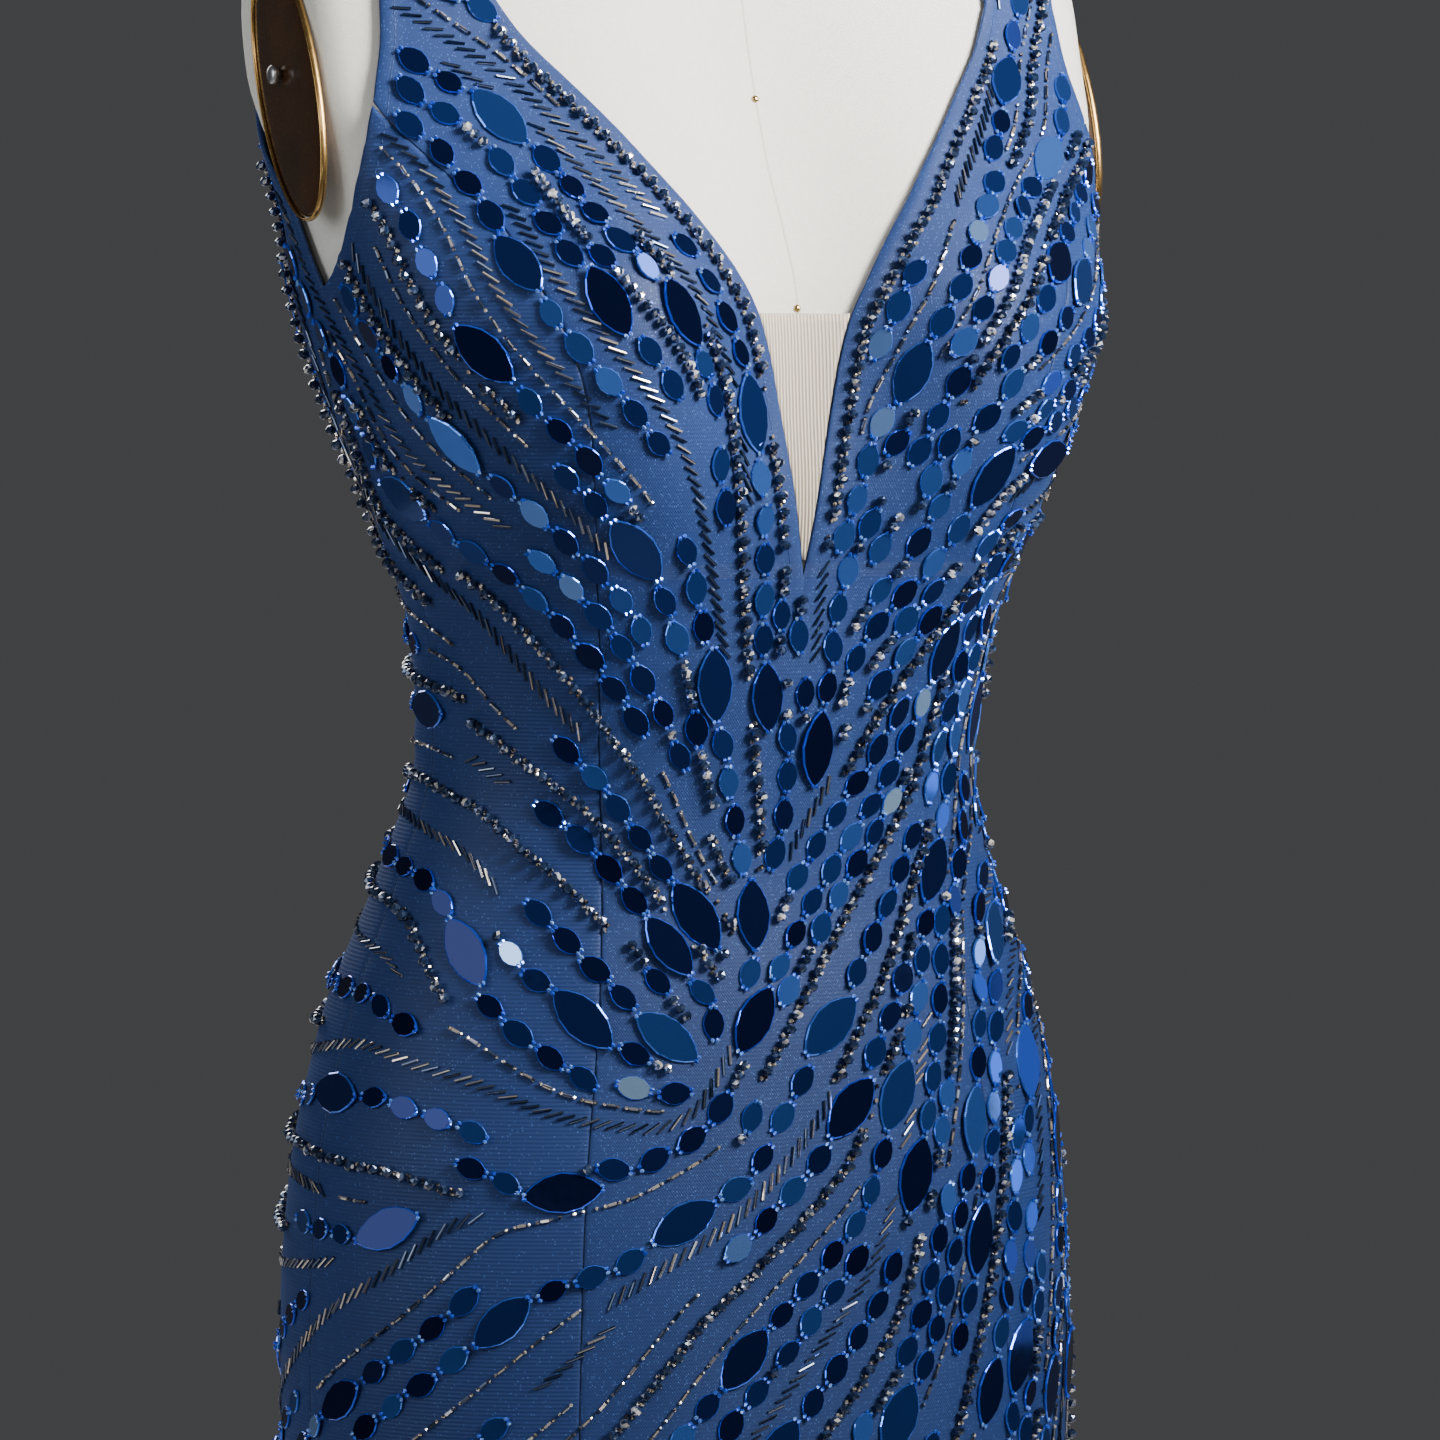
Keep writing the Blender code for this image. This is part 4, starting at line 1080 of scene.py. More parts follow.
def knob_ring(radius, out, side, count=28):
    turn = full_turn(count)
    return np.stack([np.full(count, side * (ARM_CUT + out)),
                     KNOB_Y + radius * np.cos(turn),
                     WAIST_HEIGHT + KNOB_UP + radius * np.sin(turn)], axis=1)[::side]


for label, side in (("left", 1), ("right", -1)):
    ring_piece("arm_plate_%s_gloss" % label, "arm_plate_" + label,
               [plate_oval(grow, out, side) for out, grow in PLATE_LAYERS], BRONZE)
    rings = [plate_oval(RIM_GROWTH[0] - RIM_GROWTH[1] * math.cos(t),
                        RIM_OUT[0] + RIM_OUT[1] * math.sin(t), side)
             for t in np.linspace(-math.pi, math.pi, 13)[:-1]]
    ring_piece("plate_rim_%s_gold" % label, "plate_rim_" + label, rings + rings[:1], GOLD_RIM,
               cap_ends=False)
    ring_piece("plate_knob_%s_steel" % label, "plate_knob_" + label,
               [knob_ring(radius, out, side) for out, radius in KNOB_LAYERS], STEEL)
print("plate:", 2 * PLATE_WIDE, "by", 2 * PLATE_LONG, "mm")


# %% Neck cap, pole and base
CAP_LAYERS = (  # over the neck's top, share of its outline
    (0.35, 1.00), (0.6, 1.03), (7.4, 1.045), (8.6, 1.035), (9.6, 1.0), (10.8, 0.9),
    (11.6, 0.7), (11.9, 0.4), (12.0, 0.1))
POLE_RADIUS, POLE_FOOT, POLE_GAP = 16.0, 22.35, 0.35
BASE_LAYERS = (  # radius, over the floor
    (196.0, 0.0), (199.0, 0.6), (200.0, 2.0), (200.0, 5.5), (199.0, 7.6), (196.0, 9.4),
    (188.0, 10.9), (165.0, 13.2), (140.0, 15.0), (90.0, 16.9), (44.0, 18.2), (36.0, 19.2),
    (31.0, 21.4), (29.0, 22.0), (8.0, 22.0))


def round_ring(radius, z, count):
    turn = full_turn(count)
    return np.stack([radius * np.cos(turn), radius * np.sin(turn), np.full(count, z)], axis=1)


def cap_rings():
    top = torso_ring(NECK_TOP, np.linspace(-math.pi, math.pi, 97)[:-1])
    middle = top.mean(axis=0)
    for rise, grow in CAP_LAYERS:
        ring = middle + (top - middle) * grow
        ring[:, 2] = NECK_TOP + WAIST_HEIGHT + rise
        yield ring


ring_piece("neck_cap_gloss", "neck_cap", list(cap_rings()), BRONZE)
pole_top = FORM_FOOT + WAIST_HEIGHT - POLE_GAP
ring_piece("pole_steel", "pole", [round_ring(POLE_RADIUS, z, 48) for z in
                                  np.linspace(POLE_FOOT, pole_top, 9)], STEEL)
ring_piece("base_disc_lacquer", "base_disc", [round_ring(radius, z, 96) for radius, z in
                                              BASE_LAYERS], BLACK_IRON)
for name in ("zip_slider", "zip_pull"):
    part = frame["nodes"][name]
    part.data.materials.clear()
    part.data.materials.append(ZIP_METAL)
print("stand pieces made, zip painted")

# %% [markdown]
# ## The flow of the beadwork
# The beads are sewn in rows that sweep from the shoulders and the bust to the
# wearer's right hip, meet there, and fan out over the thigh. To draw such
# rows a maker chalks a few arrows on the toile and lets the eye fill in the
# rest. The table holds those arrows; between them the lean is a blend. A row
# has no front or back end, so leans are blended as doubled angles.

# %% Chalk arrows
FLOW = (  # angle, over_waist, lean from straight down towards the wearer's left
    (-55, 285, 40), (-68, 280, 55), (-64, 230, 35), (-72, 210, 25), (-86, 180, 35),
    (-44, 210, 42), (-20, 185, 32), (-14, 140, 10), (-56, 130, 43), (-78, 85, 60),
    (-70, 50, 40), (-88, 25, 80), (-100, 5, 90), (-62, -20, 55), (-35, -80, 37),
    (-84, -20, 75), (-70, -78, 37), (-95, -60, 80), (-62, -105, 48), (-44, -118, 55),
    (-42, -142, 82), (-94, -130, 100), (-68, -120, 80), (-58, -170, 68), (-92, -170, 85),
    (-48, -195, 105), (-28, -172, 118), (-84, -260, 125), (-60, -205, 135), (-47, -252, 130),
    (64, 300, -25), (51, 256, -37), (62, 235, -55), (30, 210, -35), (13, 150, -5),
    (22, 150, -35), (30, 108, -22), (62, 132, -70), (28, 65, -42), (55, 22, -10),
    (0, 60, -3), (-14, 26, 8), (-28, 26, 14), (-41, 18, 36), (18, -40, -38), (17, -93, -36),
    (-16, -140, -30), (-3, -190, -48), (-35, -252, -38), (39, -104, -18), (26, -186, -20),
    (0, -265, -42), (75, -70, -60), (60, -195, -14),
    (100, 150, 30), (120, 220, 15), (150, 170, -25), (170, 120, -20), (178, 60, -5),
    (150, 60, -30), (120, 60, -35), (100, 20, -20), (-120, 220, -15), (-100, 150, -10),
    (-150, 170, 25), (-170, 120, 20), (-178, 60, 5), (-150, 60, 30), (-125, 70, 50),
    (160, -60, -35), (130, -80, -50), (100, -100, -40), (178, -100, -10), (-160, -60, 35),
    (-130, -80, 60), (-178, -160, 10), (160, -200, -30), (125, -200, -45), (-160, -200, 35),
    (-130, -180, 65), (0, -360, -25), (40, -330, -20), (-40, -340, 140), (-70, -350, 140),
    (90, -330, -25), (140, -330, -25), (-140, -330, 30), (-110, -330, 120), (0, -560, -12),
    (60, -560, -18), (-50, -560, -8), (120, -560, -15), (180, -500, 0), (-120, -560, 15),
    (0, -900, 0), (60, -900, 0), (120, -900, 0), (180, -900, 0), (-60, -900, 0), (-120, -900, 0),
)
ROW_GAPS = (  # angle, over_waist, distance between two rows
    (-60, 285, 9.2), (60, 285, 8.4), (-40, 180, 9.2), (40, 180, 8.3), (-75, 150, 10),
    (80, 150, 9.5), (0, 40, 8.4), (-30, -20, 9.2), (30, -20, 8.0), (-30, -120, 10),
    (30, -150, 8.3), (0, -260, 9.0), (-75, 60, 16), (-80, -40, 20), (-70, -110, 20),
    (-100, -120, 22), (-70, -200, 17), (75, 40, 9.2), (75, -100, 9.2), (75, -250, 9.8),
    (120, 150, 15), (180, 80, 13), (-120, 150, 15), (120, 0, 17), (180, -60, 15), (-120, 0, 18),
    (180, -200, 17), (120, -200, 18), (-120, -220, 20), (-60, -330, 16), (0, -420, 18),
    (90, -420, 21), (180, -420, 22), (-90, -420, 23), (0, -650, 28), (90, -650, 30),
    (180, -650, 30), (-90, -650, 32), (0, -900, 42), (90, -900, 44), (180, -900, 44),
    (-90, -900, 44),
)
print("arrows:", len(FLOW), "row gaps:", len(ROW_GAPS))

# %% Blend the arrows over a chart of the body
ANGLE_STEP, HEIGHT_STEP = 2.0, 6.0
LOWEST_EDGE = 70.0  # the gown covers all of the body below it
chart_angle = np.arange(-180, 180.1, ANGLE_STEP)
chart_height = np.arange(HEM, 396.1, HEIGHT_STEP)
angles_2d, heights_2d = np.meshgrid(chart_angle, chart_height, indexing="ij")


def blend_table(table, value, sharpness, softness):
    """Each row of a table counts less the farther away it is."""
    total, weight = 0.0, 0.0
    for angle, height, given in table:
        turn = (angles_2d - angle + 180) % 360 - 180
        far = (turn * 2.6) ** 2 + (heights_2d - height) ** 2 + softness ** 2
        share = far ** (-sharpness / 2)
        total = total + share[..., None] * value(given)
        weight = weight + share
    return total / weight[..., None]


def doubled(lean):
    return np.array([math.cos(2 * math.radians(lean)), math.sin(2 * math.radians(lean))])


def covered(angle, height, x):
    """Whether the gown covers this place."""
    in_front, x = abs(angle) <= 90, abs(x)
    neck, arm, foot = ((FRONT_NECK, ARMHOLE_FRONT, V_POINT) if in_front
                       else (BACK_NECK, ARMHOLE_BACK, BACK_V_POINT))
    if height > STRAP_START:
        top = float(ridge_height(x))
        climb = min(max((height - STRAP_START) / max(top - STRAP_START, 1.0), 0.0), 1.0)
        turn = math.asin(climb) / (math.pi / 2)
        inner, outer = neck[-1][1], strap_x(arm)
        return inner + (RIDGE_IN - inner) * turn < x < outer + (RIDGE_OUT - outer) * turn
    edge = float(smooth_curve(arm, 1, height))
    past_arm = abs(angle) > edge if in_front else abs(angle) < edge
    in_neck = height >= foot and x < float(smooth_curve(neck, 1, height))
    return not (in_neck or (height >= ARMHOLE_FOOT and past_arm))


def make_chart():
    """For each place: where it is, the flow, sizes, row gap and room to an edge."""
    angle = np.radians(angles_2d)
    spot = figure(angle, heights_2d)
    along, up = moves(angle, heights_2d)
    per_degree = np.linalg.norm(along, axis=-1) / ROUND_MOVE * math.pi / 180
    per_height = np.linalg.norm(up, axis=-1) / UP_MOVE
    lean = blend_table(FLOW, doubled, sharpness=4.0, softness=14.0)
    gap = blend_table(ROW_GAPS, lambda given: np.array([given]), sharpness=3.0, softness=25.0)
    room = nearest(spot.reshape(-1, 3), EDGE_DOTS).reshape(angle.shape)
    for at in np.ndindex(room.shape):
        place = angles_2d[at], heights_2d[at], spot[at][0]
        if heights_2d[at] > LOWEST_EDGE and not covered(*place):
            room[at] *= -1
    return np.concatenate([spot, lean, per_degree[..., None], per_height[..., None], gap,
                           room[..., None]], axis=-1).tolist()


CHART = make_chart()
print("chart of", len(CHART), "by", len(CHART[0]), "places")

# %% [markdown]
# ## Drawing the rows
# A row starts at a free place and follows the flow both ways, until it meets
# an edge of the gown or another row. Its neighbours start one gap beside it.
# That is how evenly spaced lines are drawn in a field, and it gives what a
# beader does by eye: rows that run together, never cross, and thin out
# towards the hem.

# %% Read the chart at any place
SPOT, LEAN_COS, LEAN_SIN, PER_DEGREE, PER_HEIGHT, GAP, ROOM = slice(0, 3), 3, 4, 5, 6, 7, 8


def read_chart(angle, height):
    a = (angle + 180) / ANGLE_STEP
    b = (height - HEM) / HEIGHT_STEP
    i, j = int(a), int(b)
    if i < 0 or j < 0 or i > len(CHART) - 2 or j > len(CHART[0]) - 2:
        return None
    s, t = a - i, b - j
    corners = ((CHART[i][j], (1 - s) * (1 - t)), (CHART[i + 1][j], s * (1 - t)),
               (CHART[i][j + 1], (1 - s) * t), (CHART[i + 1][j + 1], s * t))
    return [sum(place[n] * share for place, share in corners) for n in range(ROOM + 1)]


def wrapped(angle):
    return (angle + 180) % 360 - 180


def lean_at(here):
    return 0.5 * math.atan2(here[LEAN_SIN], here[LEAN_COS])


def moved(angle, height, way, distance, here):
    """The place a distance off, in the direction that a lean points."""
    return (wrapped(angle + math.sin(way) * distance / here[PER_DEGREE]),
            height - math.cos(way) * distance / here[PER_HEIGHT])


print("row gap at the waist in front:", round(read_chart(0.0, 0.0)[GAP], 1), "mm")


# %% Keep rows apart
CELL = 16.0
EDGE_ROOM = 6.0
STEP = 3.0
OWN_TAIL, END_ROOM, START_ROOM, SIDE_ROOM = 4.0, 0.70, 0.92, 0.95  # shares of the row gap
KINDS = ("stone", "bugle", "crystal", "seed")
ROW_WIDTH = {"stone": 1.12, "bugle": 0.76, "crystal": 0.74, "seed": 0.64}  # share of the gap


class SewnPlaces:
    """Where rows lie already, in boxes for a quick search."""

    def __init__(self):
        self.boxes = {}

    def box_of(self, spot):
        return tuple(int(v // CELL) for v in spot)

    def add(self, spot, row, run, kind):
        self.boxes.setdefault(self.box_of(spot), []).append((*spot, row, run, kind))

    def around(self, spot, distance):
        """Squared distance, row, run and kind of the places in the boxes near a spot."""
        reach = int(distance // CELL) + 1
        across, along, up = (range(k - reach, k + reach + 1) for k in self.box_of(spot))
        for box in ((i, j, k) for i in across for j in along for k in up):
            for x, y, z, row, run, kind in self.boxes.get(box, ()):
                yield ((x - spot[0]) ** 2 + (y - spot[1]) ** 2 + (z - spot[2]) ** 2,
                       row, run, kind)

    def clear(self, spot, row, run, skip, gap, kind):
        """True if no row lies too near, the row's own tail left out."""
        for apart, other, at, other_kind in self.around(spot, gap * ROW_WIDTH["stone"]):
            limit = gap * 0.5 * (ROW_WIDTH[kind] + ROW_WIDTH[other_kind])
            if apart < limit ** 2 and not (other == row and abs(at - run) < skip):
                return False
        return True

    def kinds_near(self, spot, distance):
        """The kind of each row within the distance."""
        found = {row: kind for apart, row, _, kind in self.around(spot, distance)
                 if apart < distance ** 2}
        return list(found.values())


sewn = SewnPlaces()
print("kinds of rows:", KINDS)


# %% Follow the flow from one place
SHARPEST_TURN, TURN_STEPS = 1.1, 8  # radians over so many steps


def follow(row, kind, angle, height, way, longest):
    """Places (angle, height, run) passed on the way; way is 1 down, -1 back."""
    here = read_chart(angle, height)
    lean = lean_at(here) + (math.pi if way < 0 else 0)
    run, turns, passed = 0.0, [], []
    while run < longest:
        angle, height = moved(angle, height, lean, STEP, here)
        here = read_chart(angle, height)
        if here is None or here[ROOM] < EDGE_ROOM:
            break
        new = lean_at(here)
        new += math.pi * round((lean - new) / math.pi)
        turns.append(abs(new - lean))
        lean = new
        run += STEP
        if sum(turns[-TURN_STEPS:]) > SHARPEST_TURN:
            break
        tail, room = OWN_TAIL * here[GAP], END_ROOM * here[GAP]
        if not sewn.clear(here[SPOT], row, way * run, tail, room, kind):
            break
        passed.append((angle, height, way * run))
    return passed


print("places on a 60 mm row at the bust:", len(follow(0, "seed", 40.0, 180.0, 1, 60.0)))


# %% A crystal row follows the neckline
NECK_INSET = 8.0


def inset_line(line, distance):
    """Moves an edge line into the cloth by a distance, on the body surface."""
    angle, height = line
    inward = np.cross(outward(angle, height), unit(np.gradient(figure(angle, height), axis=0)))
    round_way, up_way = moves(angle, height)
    per_angle = np.linalg.norm(round_way, axis=-1) / ROUND_MOVE
    per_height = np.linalg.norm(up_way, axis=-1) / UP_MOVE
    middle = len(angle) // 2
    for sign in (1, -1):
        new_angle = angle + sign * distance * (inward * unit(round_way)).sum(-1) / per_angle
        new_height = height + sign * distance * (inward * unit(up_way)).sum(-1) / per_height
        a, h = new_angle[middle], new_height[middle]
        if covered(math.degrees(a), h, float(figure(a, h)[0])):
            break
    return new_angle, new_height


def even_places(line, step, start=2.0):
    """Angles and heights at even distances along a line."""
    run = runs(figure(*line))
    at = np.arange(start, run[-1] - start, step)
    return np.interp(at, run, line[0]), np.interp(at, run, line[1]), at


def neck_rows():
    """One row each side, inside the front neckline."""
    places = list(zip(*even_places(inset_line(EDGES[0], NECK_INSET), STEP, 14.0)))
    return [[(side * math.degrees(a), float(h), float(at)) for a, h, at in places]
            for side in (-1, 1)]


NECK_ROWS = neck_rows()
print("neck rows:", len(NECK_ROWS), "places in each:", len(NECK_ROWS[0]))


# %% Start rows until the gown is full
KIND_SHARE = {"stone": 0.44, "bugle": 0.20, "crystal": 0.21, "seed": 0.15}
KIND_BESIDE = {"stone": 0.07, "bugle": 0.17, "crystal": 0.13, "seed": 0.16}
FIRST_PLACES = (  # angle, over_waist
    (-50, 250), (50, 250), (-20, 0), (-60, -200), (20, -150), (-80, -120), (150, 100),
    (-150, 100), (140, -100), (-140, -100), (0, -400), (90, -400), (179, -400), (-90, -400),
    (0, -800), (90, -800), (179, -800), (-90, -800))
LONGEST_ROW, SHORTEST_ROW = 165.0, 24.0
MORE_STONES, NEAR_ROWS = 0.08, 1.35
used = {kind: 1.0 for kind in KINDS}
row_kind = {}


def kind_for(angle, height, here):
    """The kind that is scarce so far and not yet sewn beside this place."""
    near = sewn.kinds_near(here[SPOT], NEAR_ROWS * here[GAP])
    total = sum(used.values())
    share = dict(KIND_SHARE)
    if abs(angle) < 60 and abs(height) < 230:  # the front of bodice and hip
        share["stone"] += MORE_STONES
    return max(KINDS, key=lambda kind: share[kind] - used[kind] / total
               - KIND_BESIDE[kind] * near.count(kind))


def sew_row(rows, path, kind):
    row_kind[len(rows)] = kind
    used[kind] += len(path)
    for place in path:
        sewn.add(read_chart(*place[:2])[SPOT], len(rows), place[2], kind)
    rows.append(path)


def beside_places(path, kind):
    """Where neighbours of a row could start, on both sides of it."""
    out = []
    for angle, height, _ in path[::3]:
        here = read_chart(angle, height)
        far = here[GAP] * 0.5 * (ROW_WIDTH[kind] + SIDE_ROOM)
        for side in (math.pi / 2, -math.pi / 2):
            out.append(moved(angle, height, lean_at(here) + side, far, here))
    return out


def draw_rows():
    rows, waiting = [], []
    for path in NECK_ROWS:
        sew_row(rows, path, "crystal")
        waiting += beside_places(path, "crystal")
    waiting += [(float(angle), float(height)) for angle, height in FIRST_PLACES]
    later = [(float(angle), float(height)) for height in np.arange(-1030, 380, 8.0)
             for angle in np.arange(-179, 180, 3.5)]
    at = 0
    while at < len(waiting) or later:
        if at >= len(waiting):
            waiting, later = waiting + later, []
        angle, height = waiting[at]
        at += 1
        here = read_chart(angle, height)
        if here is None or here[ROOM] < EDGE_ROOM:
            continue
        kind = kind_for(angle, height, here)
        if not sewn.clear(here[SPOT], -1, 0, 0, START_ROOM * here[GAP], kind):
            continue
        longest = LONGEST_ROW * (0.55 + 0.9 * float(dice.random()))
        back, ahead = (follow(len(rows), kind, angle, height, way, longest) for way in (-1, 1))
        path = back[::-1] + [(angle, height, 0.0)] + ahead
        if len(path) * STEP >= SHORTEST_ROW:
            sew_row(rows, path, kind)
            waiting += beside_places(path, kind)
    return rows


ROWS = draw_rows()
print("rows:", len(ROWS), "metres:", round(sum(map(len, ROWS)) * STEP / 1000, 1), used)

# %% [markdown]
# ## Laying stones and beads along the rows
# A stone row is stones tip to tip, with a large one now and then. A bugle row
# is short glass tubes set slantwise, side by side, like a ladder. A crystal
# row strings small facetted beads with seeds between, and a seed row is the
# thinnest. Stones go down first, and no bead is sewn on a stone or over the
# zip, which has to open.

# %% A bead's place on the cloth
SIDE_STEP = 0.003  # radians


def frames_at(angle, height, lean):
    """Places on the cloth, with the way along the row, across it and outward."""
    angle, height = np.asarray(angle, float), np.asarray(height, float)
    spot = cloth_top(angle, height, sewn=False)
    out = outward(angle, height)
    round_way = unit(figure(angle + SIDE_STEP, height) - figure(angle - SIDE_STEP, height))
    up_way = np.cross(out, round_way)
    lean = np.asarray(lean, float)[:, None]
    along = unit(-np.cos(lean) * up_way + np.sin(lean) * round_way)
    return spot, np.stack([along, np.cross(out, along), out], axis=1)


def turned(axes, spin=0.0, tip=0.0, roll=0.0):
    """Spins the axes about outward, then tips them along and across."""
    along, across, out = axes[:, 0], axes[:, 1], axes[:, 2]
    spin, tip, roll = (np.broadcast_to(v, len(along))[:, None] for v in (spin, tip, roll))
    new_along = np.cos(spin) * along + np.sin(spin) * across
    new_across = np.cross(out, new_along)
    tipped = np.cos(tip) * new_along + np.sin(tip) * out
    out = np.cross(tipped, new_across)
    rolled = np.cos(roll) * new_across + np.sin(roll) * out
    return np.stack([tipped, rolled, np.cross(tipped, rolled)], axis=1)


def lay(beads, angle, height, lean, size, tone):
    beads.append((angle, height, lean, *size, tone))


def along_row(path, run):
    """Angle, height and lean at a distance along a row."""
    at = min(max(run / STEP, 0.0), len(path) - 1.001)
    i = int(at)
    (a, h, _), (b, g, _) = path[i], path[i + 1]
    turn = wrapped(b - a)
    here = read_chart(wrapped(a + turn * (at - i)), h + (g - h) * (at - i))
    lean = math.atan2(turn * here[PER_DEGREE], (h - g) * here[PER_HEIGHT])
    return wrapped(a + turn * (at - i)), h + (g - h) * (at - i), lean, here


def aside(place, offset):
    """Shifts a place across its row by a few tenths of a millimetre."""
    angle, height, lean, here = place
    return (angle + offset * math.cos(lean) / here[PER_DEGREE],
            height + offset * math.sin(lean) / here[PER_HEIGHT], lean)


print("a bead at the waist lies at:", frames_at([0.0], [0.0], [0.0])[0][0].round(1), "mm")


# %% Lay the mirror stones
stones, bugles, crystals, seeds = [], [], [], []
stone_places = np.zeros((6000, 8))  # middle, way along, length and width
SMALL_STONE, LARGE_STONE = (15.6, 9.7), (33.0, 16.5)
STONE_SPACE, WIDE_SPACE, WIDE_GAP = 1.5, 7.0, 26  # stones keep apart where rows do
FILLER, FILLER_STEP = (3.8, 4.6, 4.6), 4.4  # a crystal where no stone fits
OVERRUN, EDGE_CLEAR = 4.0, 1.2


def tone_near(middle, spread):
    return float(np.clip(middle + spread * (dice.random() - 0.5) * 2, 0, 1))


def stone_fits(spot, way, length, width):
    """True if a stone with this middle and way lies clear of all others."""
    others = stone_places[:len(stones)]
    apart = others[:, :3] - spot
    far = (apart ** 2).sum(axis=1)
    near = far < (0.5 * (length + others[:, 6]) + 1.0) ** 2
    apart, others, far = apart[near], others[near], far[near]
    along = np.abs(apart @ way)
    beside = np.sqrt(np.maximum(0.0, far - along ** 2))
    alike = np.minimum(np.abs(others[:, 3:6] @ way), 1)
    other_wide = others[:, 7] * alike + others[:, 6] * np.sqrt(1 - alike ** 2) * 0.8
    need_along = 0.5 * (length + others[:, 6]) * 0.98
    need_beside = 0.5 * (width + other_wide) + 0.3
    return not ((along / need_along) ** 1.7 + (beside / need_beside) ** 1.7 < 1).any()


def lay_stones(path):
    length = (len(path) - 1) * STEP
    run, until_large = 0.5, int(dice.integers(2, 7))
    while run < length:
        large = until_large <= 0
        swell = 1.0 + 0.18 * (float(dice.random()) - 0.5)
        long, wide = (size * swell for size in (LARGE_STONE if large else SMALL_STONE))
        if run + 0.5 * long > length + OVERRUN:
            break
        angle, height, lean, here = along_row(path, run + 0.5 * long)
        spot, axes = frames_at([math.radians(angle)], [height], [lean])
        place = (spot[0], axes[0, 0], long, wide)
        if here[ROOM] > 0.5 * wide + EDGE_CLEAR and stone_fits(*place):
            stone_places[len(stones)] = np.hstack(place)
            # the stone's tone picks its face colour, from near-black navy to a painted sky-blue
            # reflection
            lay(stones, angle, height, lean, (long, wide, 1.0), float(dice.random()))
            run += long + (WIDE_SPACE if here[GAP] > WIDE_GAP else STONE_SPACE)
            until_large = int(dice.integers(4, 8)) if large else until_large - 1
        elif large:
            until_large = 1
        else:
            lay(crystals, *along_row(path, run + 1.5)[:3], FILLER, tone_near(0.42, 0.45))
            run += FILLER_STEP


for row, path in enumerate(ROWS):
    if row_kind[row] == "stone":
        lay_stones(path)
print("stones:", len(stones))


# %% Lay bugles, crystals and seeds
BUGLE_SIZE, BUGLE_STEP = (7.8, 1.15, 1.15), 5.7
CRYSTAL_WIDE, CRYSTAL_STEP, SPACER_SIZE = 4.9, 6.8, (1.8, 2.1, 2.1)
SEED_SIZE, SHORT_TUBE, SEED_STEP = (1.5, 1.8, 1.8), (3.6, 1.5, 1.5), 9.4


def lay_bugles(path):
    """Short tubes set slantwise, each a step on from the one before."""
    turn = float(dice.random())
    slant = math.radians(20.0 + 18.0 * turn) * (1 if dice.random() < 0.5 else -1)
    phase = float(dice.random()) * 6
    for run in np.arange(2.0, (len(path) - 1) * STEP - 1, BUGLE_STEP - 0.9 * turn):
        angle, height, lean, _ = along_row(path, float(run))
        # painted highlight: the tone rises and falls along the row, so stretches of tubes are
        # painted bright and others dim
        tone = tone_near(0.47 + 0.30 * math.sin(run / 34.0 + phase), 0.20)
        lay(bugles, angle, height, lean + slant + 0.10 * (dice.random() - 0.5), BUGLE_SIZE, tone)


def lay_crystals(path):
    """Facetted beads with small seeds between them."""
    length = (len(path) - 1) * STEP
    for run in np.arange(1.5, length, CRYSTAL_STEP):
        off = 1.2 * (float(dice.random()) - 0.5)
        wide = CRYSTAL_WIDE + 0.5 * (float(dice.random()) - 0.5)
        lay(crystals, *aside(along_row(path, float(run)), off), (0.80 * wide, wide, wide),
            tone_near(0.34, 0.22))
        for extra, way in ((2.9, 1), (3.9, -1)):
            if run + extra < length:
                off = way * (0.5 + 0.8 * float(dice.random()))
                lay(seeds, *aside(along_row(path, float(run + extra)), off), SPACER_SIZE,
                    tone_near(0.6, 0.4))


def lay_seeds(path):
    """A short tube between two seeds, then a little bare thread."""
    length = (len(path) - 1) * STEP
    for run in np.arange(1.0, length - 5.0, SEED_STEP):
        for extra, beads, size in ((0.0, seeds, SEED_SIZE), (2.9, bugles, SHORT_TUBE),
                                   (5.8, seeds, SEED_SIZE)):
            angle, height, lean, _ = along_row(path, float(run + extra))
            lay(beads, angle, height, lean + 0.12 * (dice.random() - 0.5), size,
                tone_near(0.66, 0.34))


LAYERS = {"bugle": lay_bugles, "crystal": lay_crystals, "seed": lay_seeds}
for row, path in enumerate(ROWS):
    if row_kind[row] != "stone":
        LAYERS[row_kind[row]](path)
print("bugles:", len(bugles), "crystals:", len(crystals), "seeds:", len(seeds))


# %% No bead lies on a stone, and none on the zip
ZIP_FOOT, ZIP_ROOM = -400.0, 2.5


def clear_of_zip(table):
    """Keeps the beads that leave the zip in the middle of the back free."""
    angle, height, lean = np.radians(table[:, 0]), table[:, 1], table[:, 2]
    reach = 0.5 * (table[:, 3] * np.abs(np.sin(lean)) + table[:, 4] * np.abs(np.cos(lean)))
    near = np.abs(figure(angle, height)[:, 0]) < reach + ZIP_ROOM
    return table[~(near & (np.cos(angle) < 0) & (height > ZIP_FOOT))]


def frames_of(table):
    return frames_at(np.radians(table[:, 0]), table[:, 1], table[:, 2])


def clear_of_stones(beads, half):
    """Keeps the beads whose middle is farther than `half` from every stone."""
    table = np.array(beads)
    spot, _ = frames_of(table)
    keep = np.ones(len(table), bool)
    for place in stone_places[:len(stones)]:
        away = spot - place[:3]
        along = np.abs(away @ place[3:6])
        beside = np.sqrt(np.maximum((away ** 2).sum(-1) - along ** 2, 0))
        half_length, half_width = 0.5 * place[6:] + half
        keep &= (along / half_length) ** 1.8 + (beside / half_width) ** 1.8 >= 1
    return table[keep]


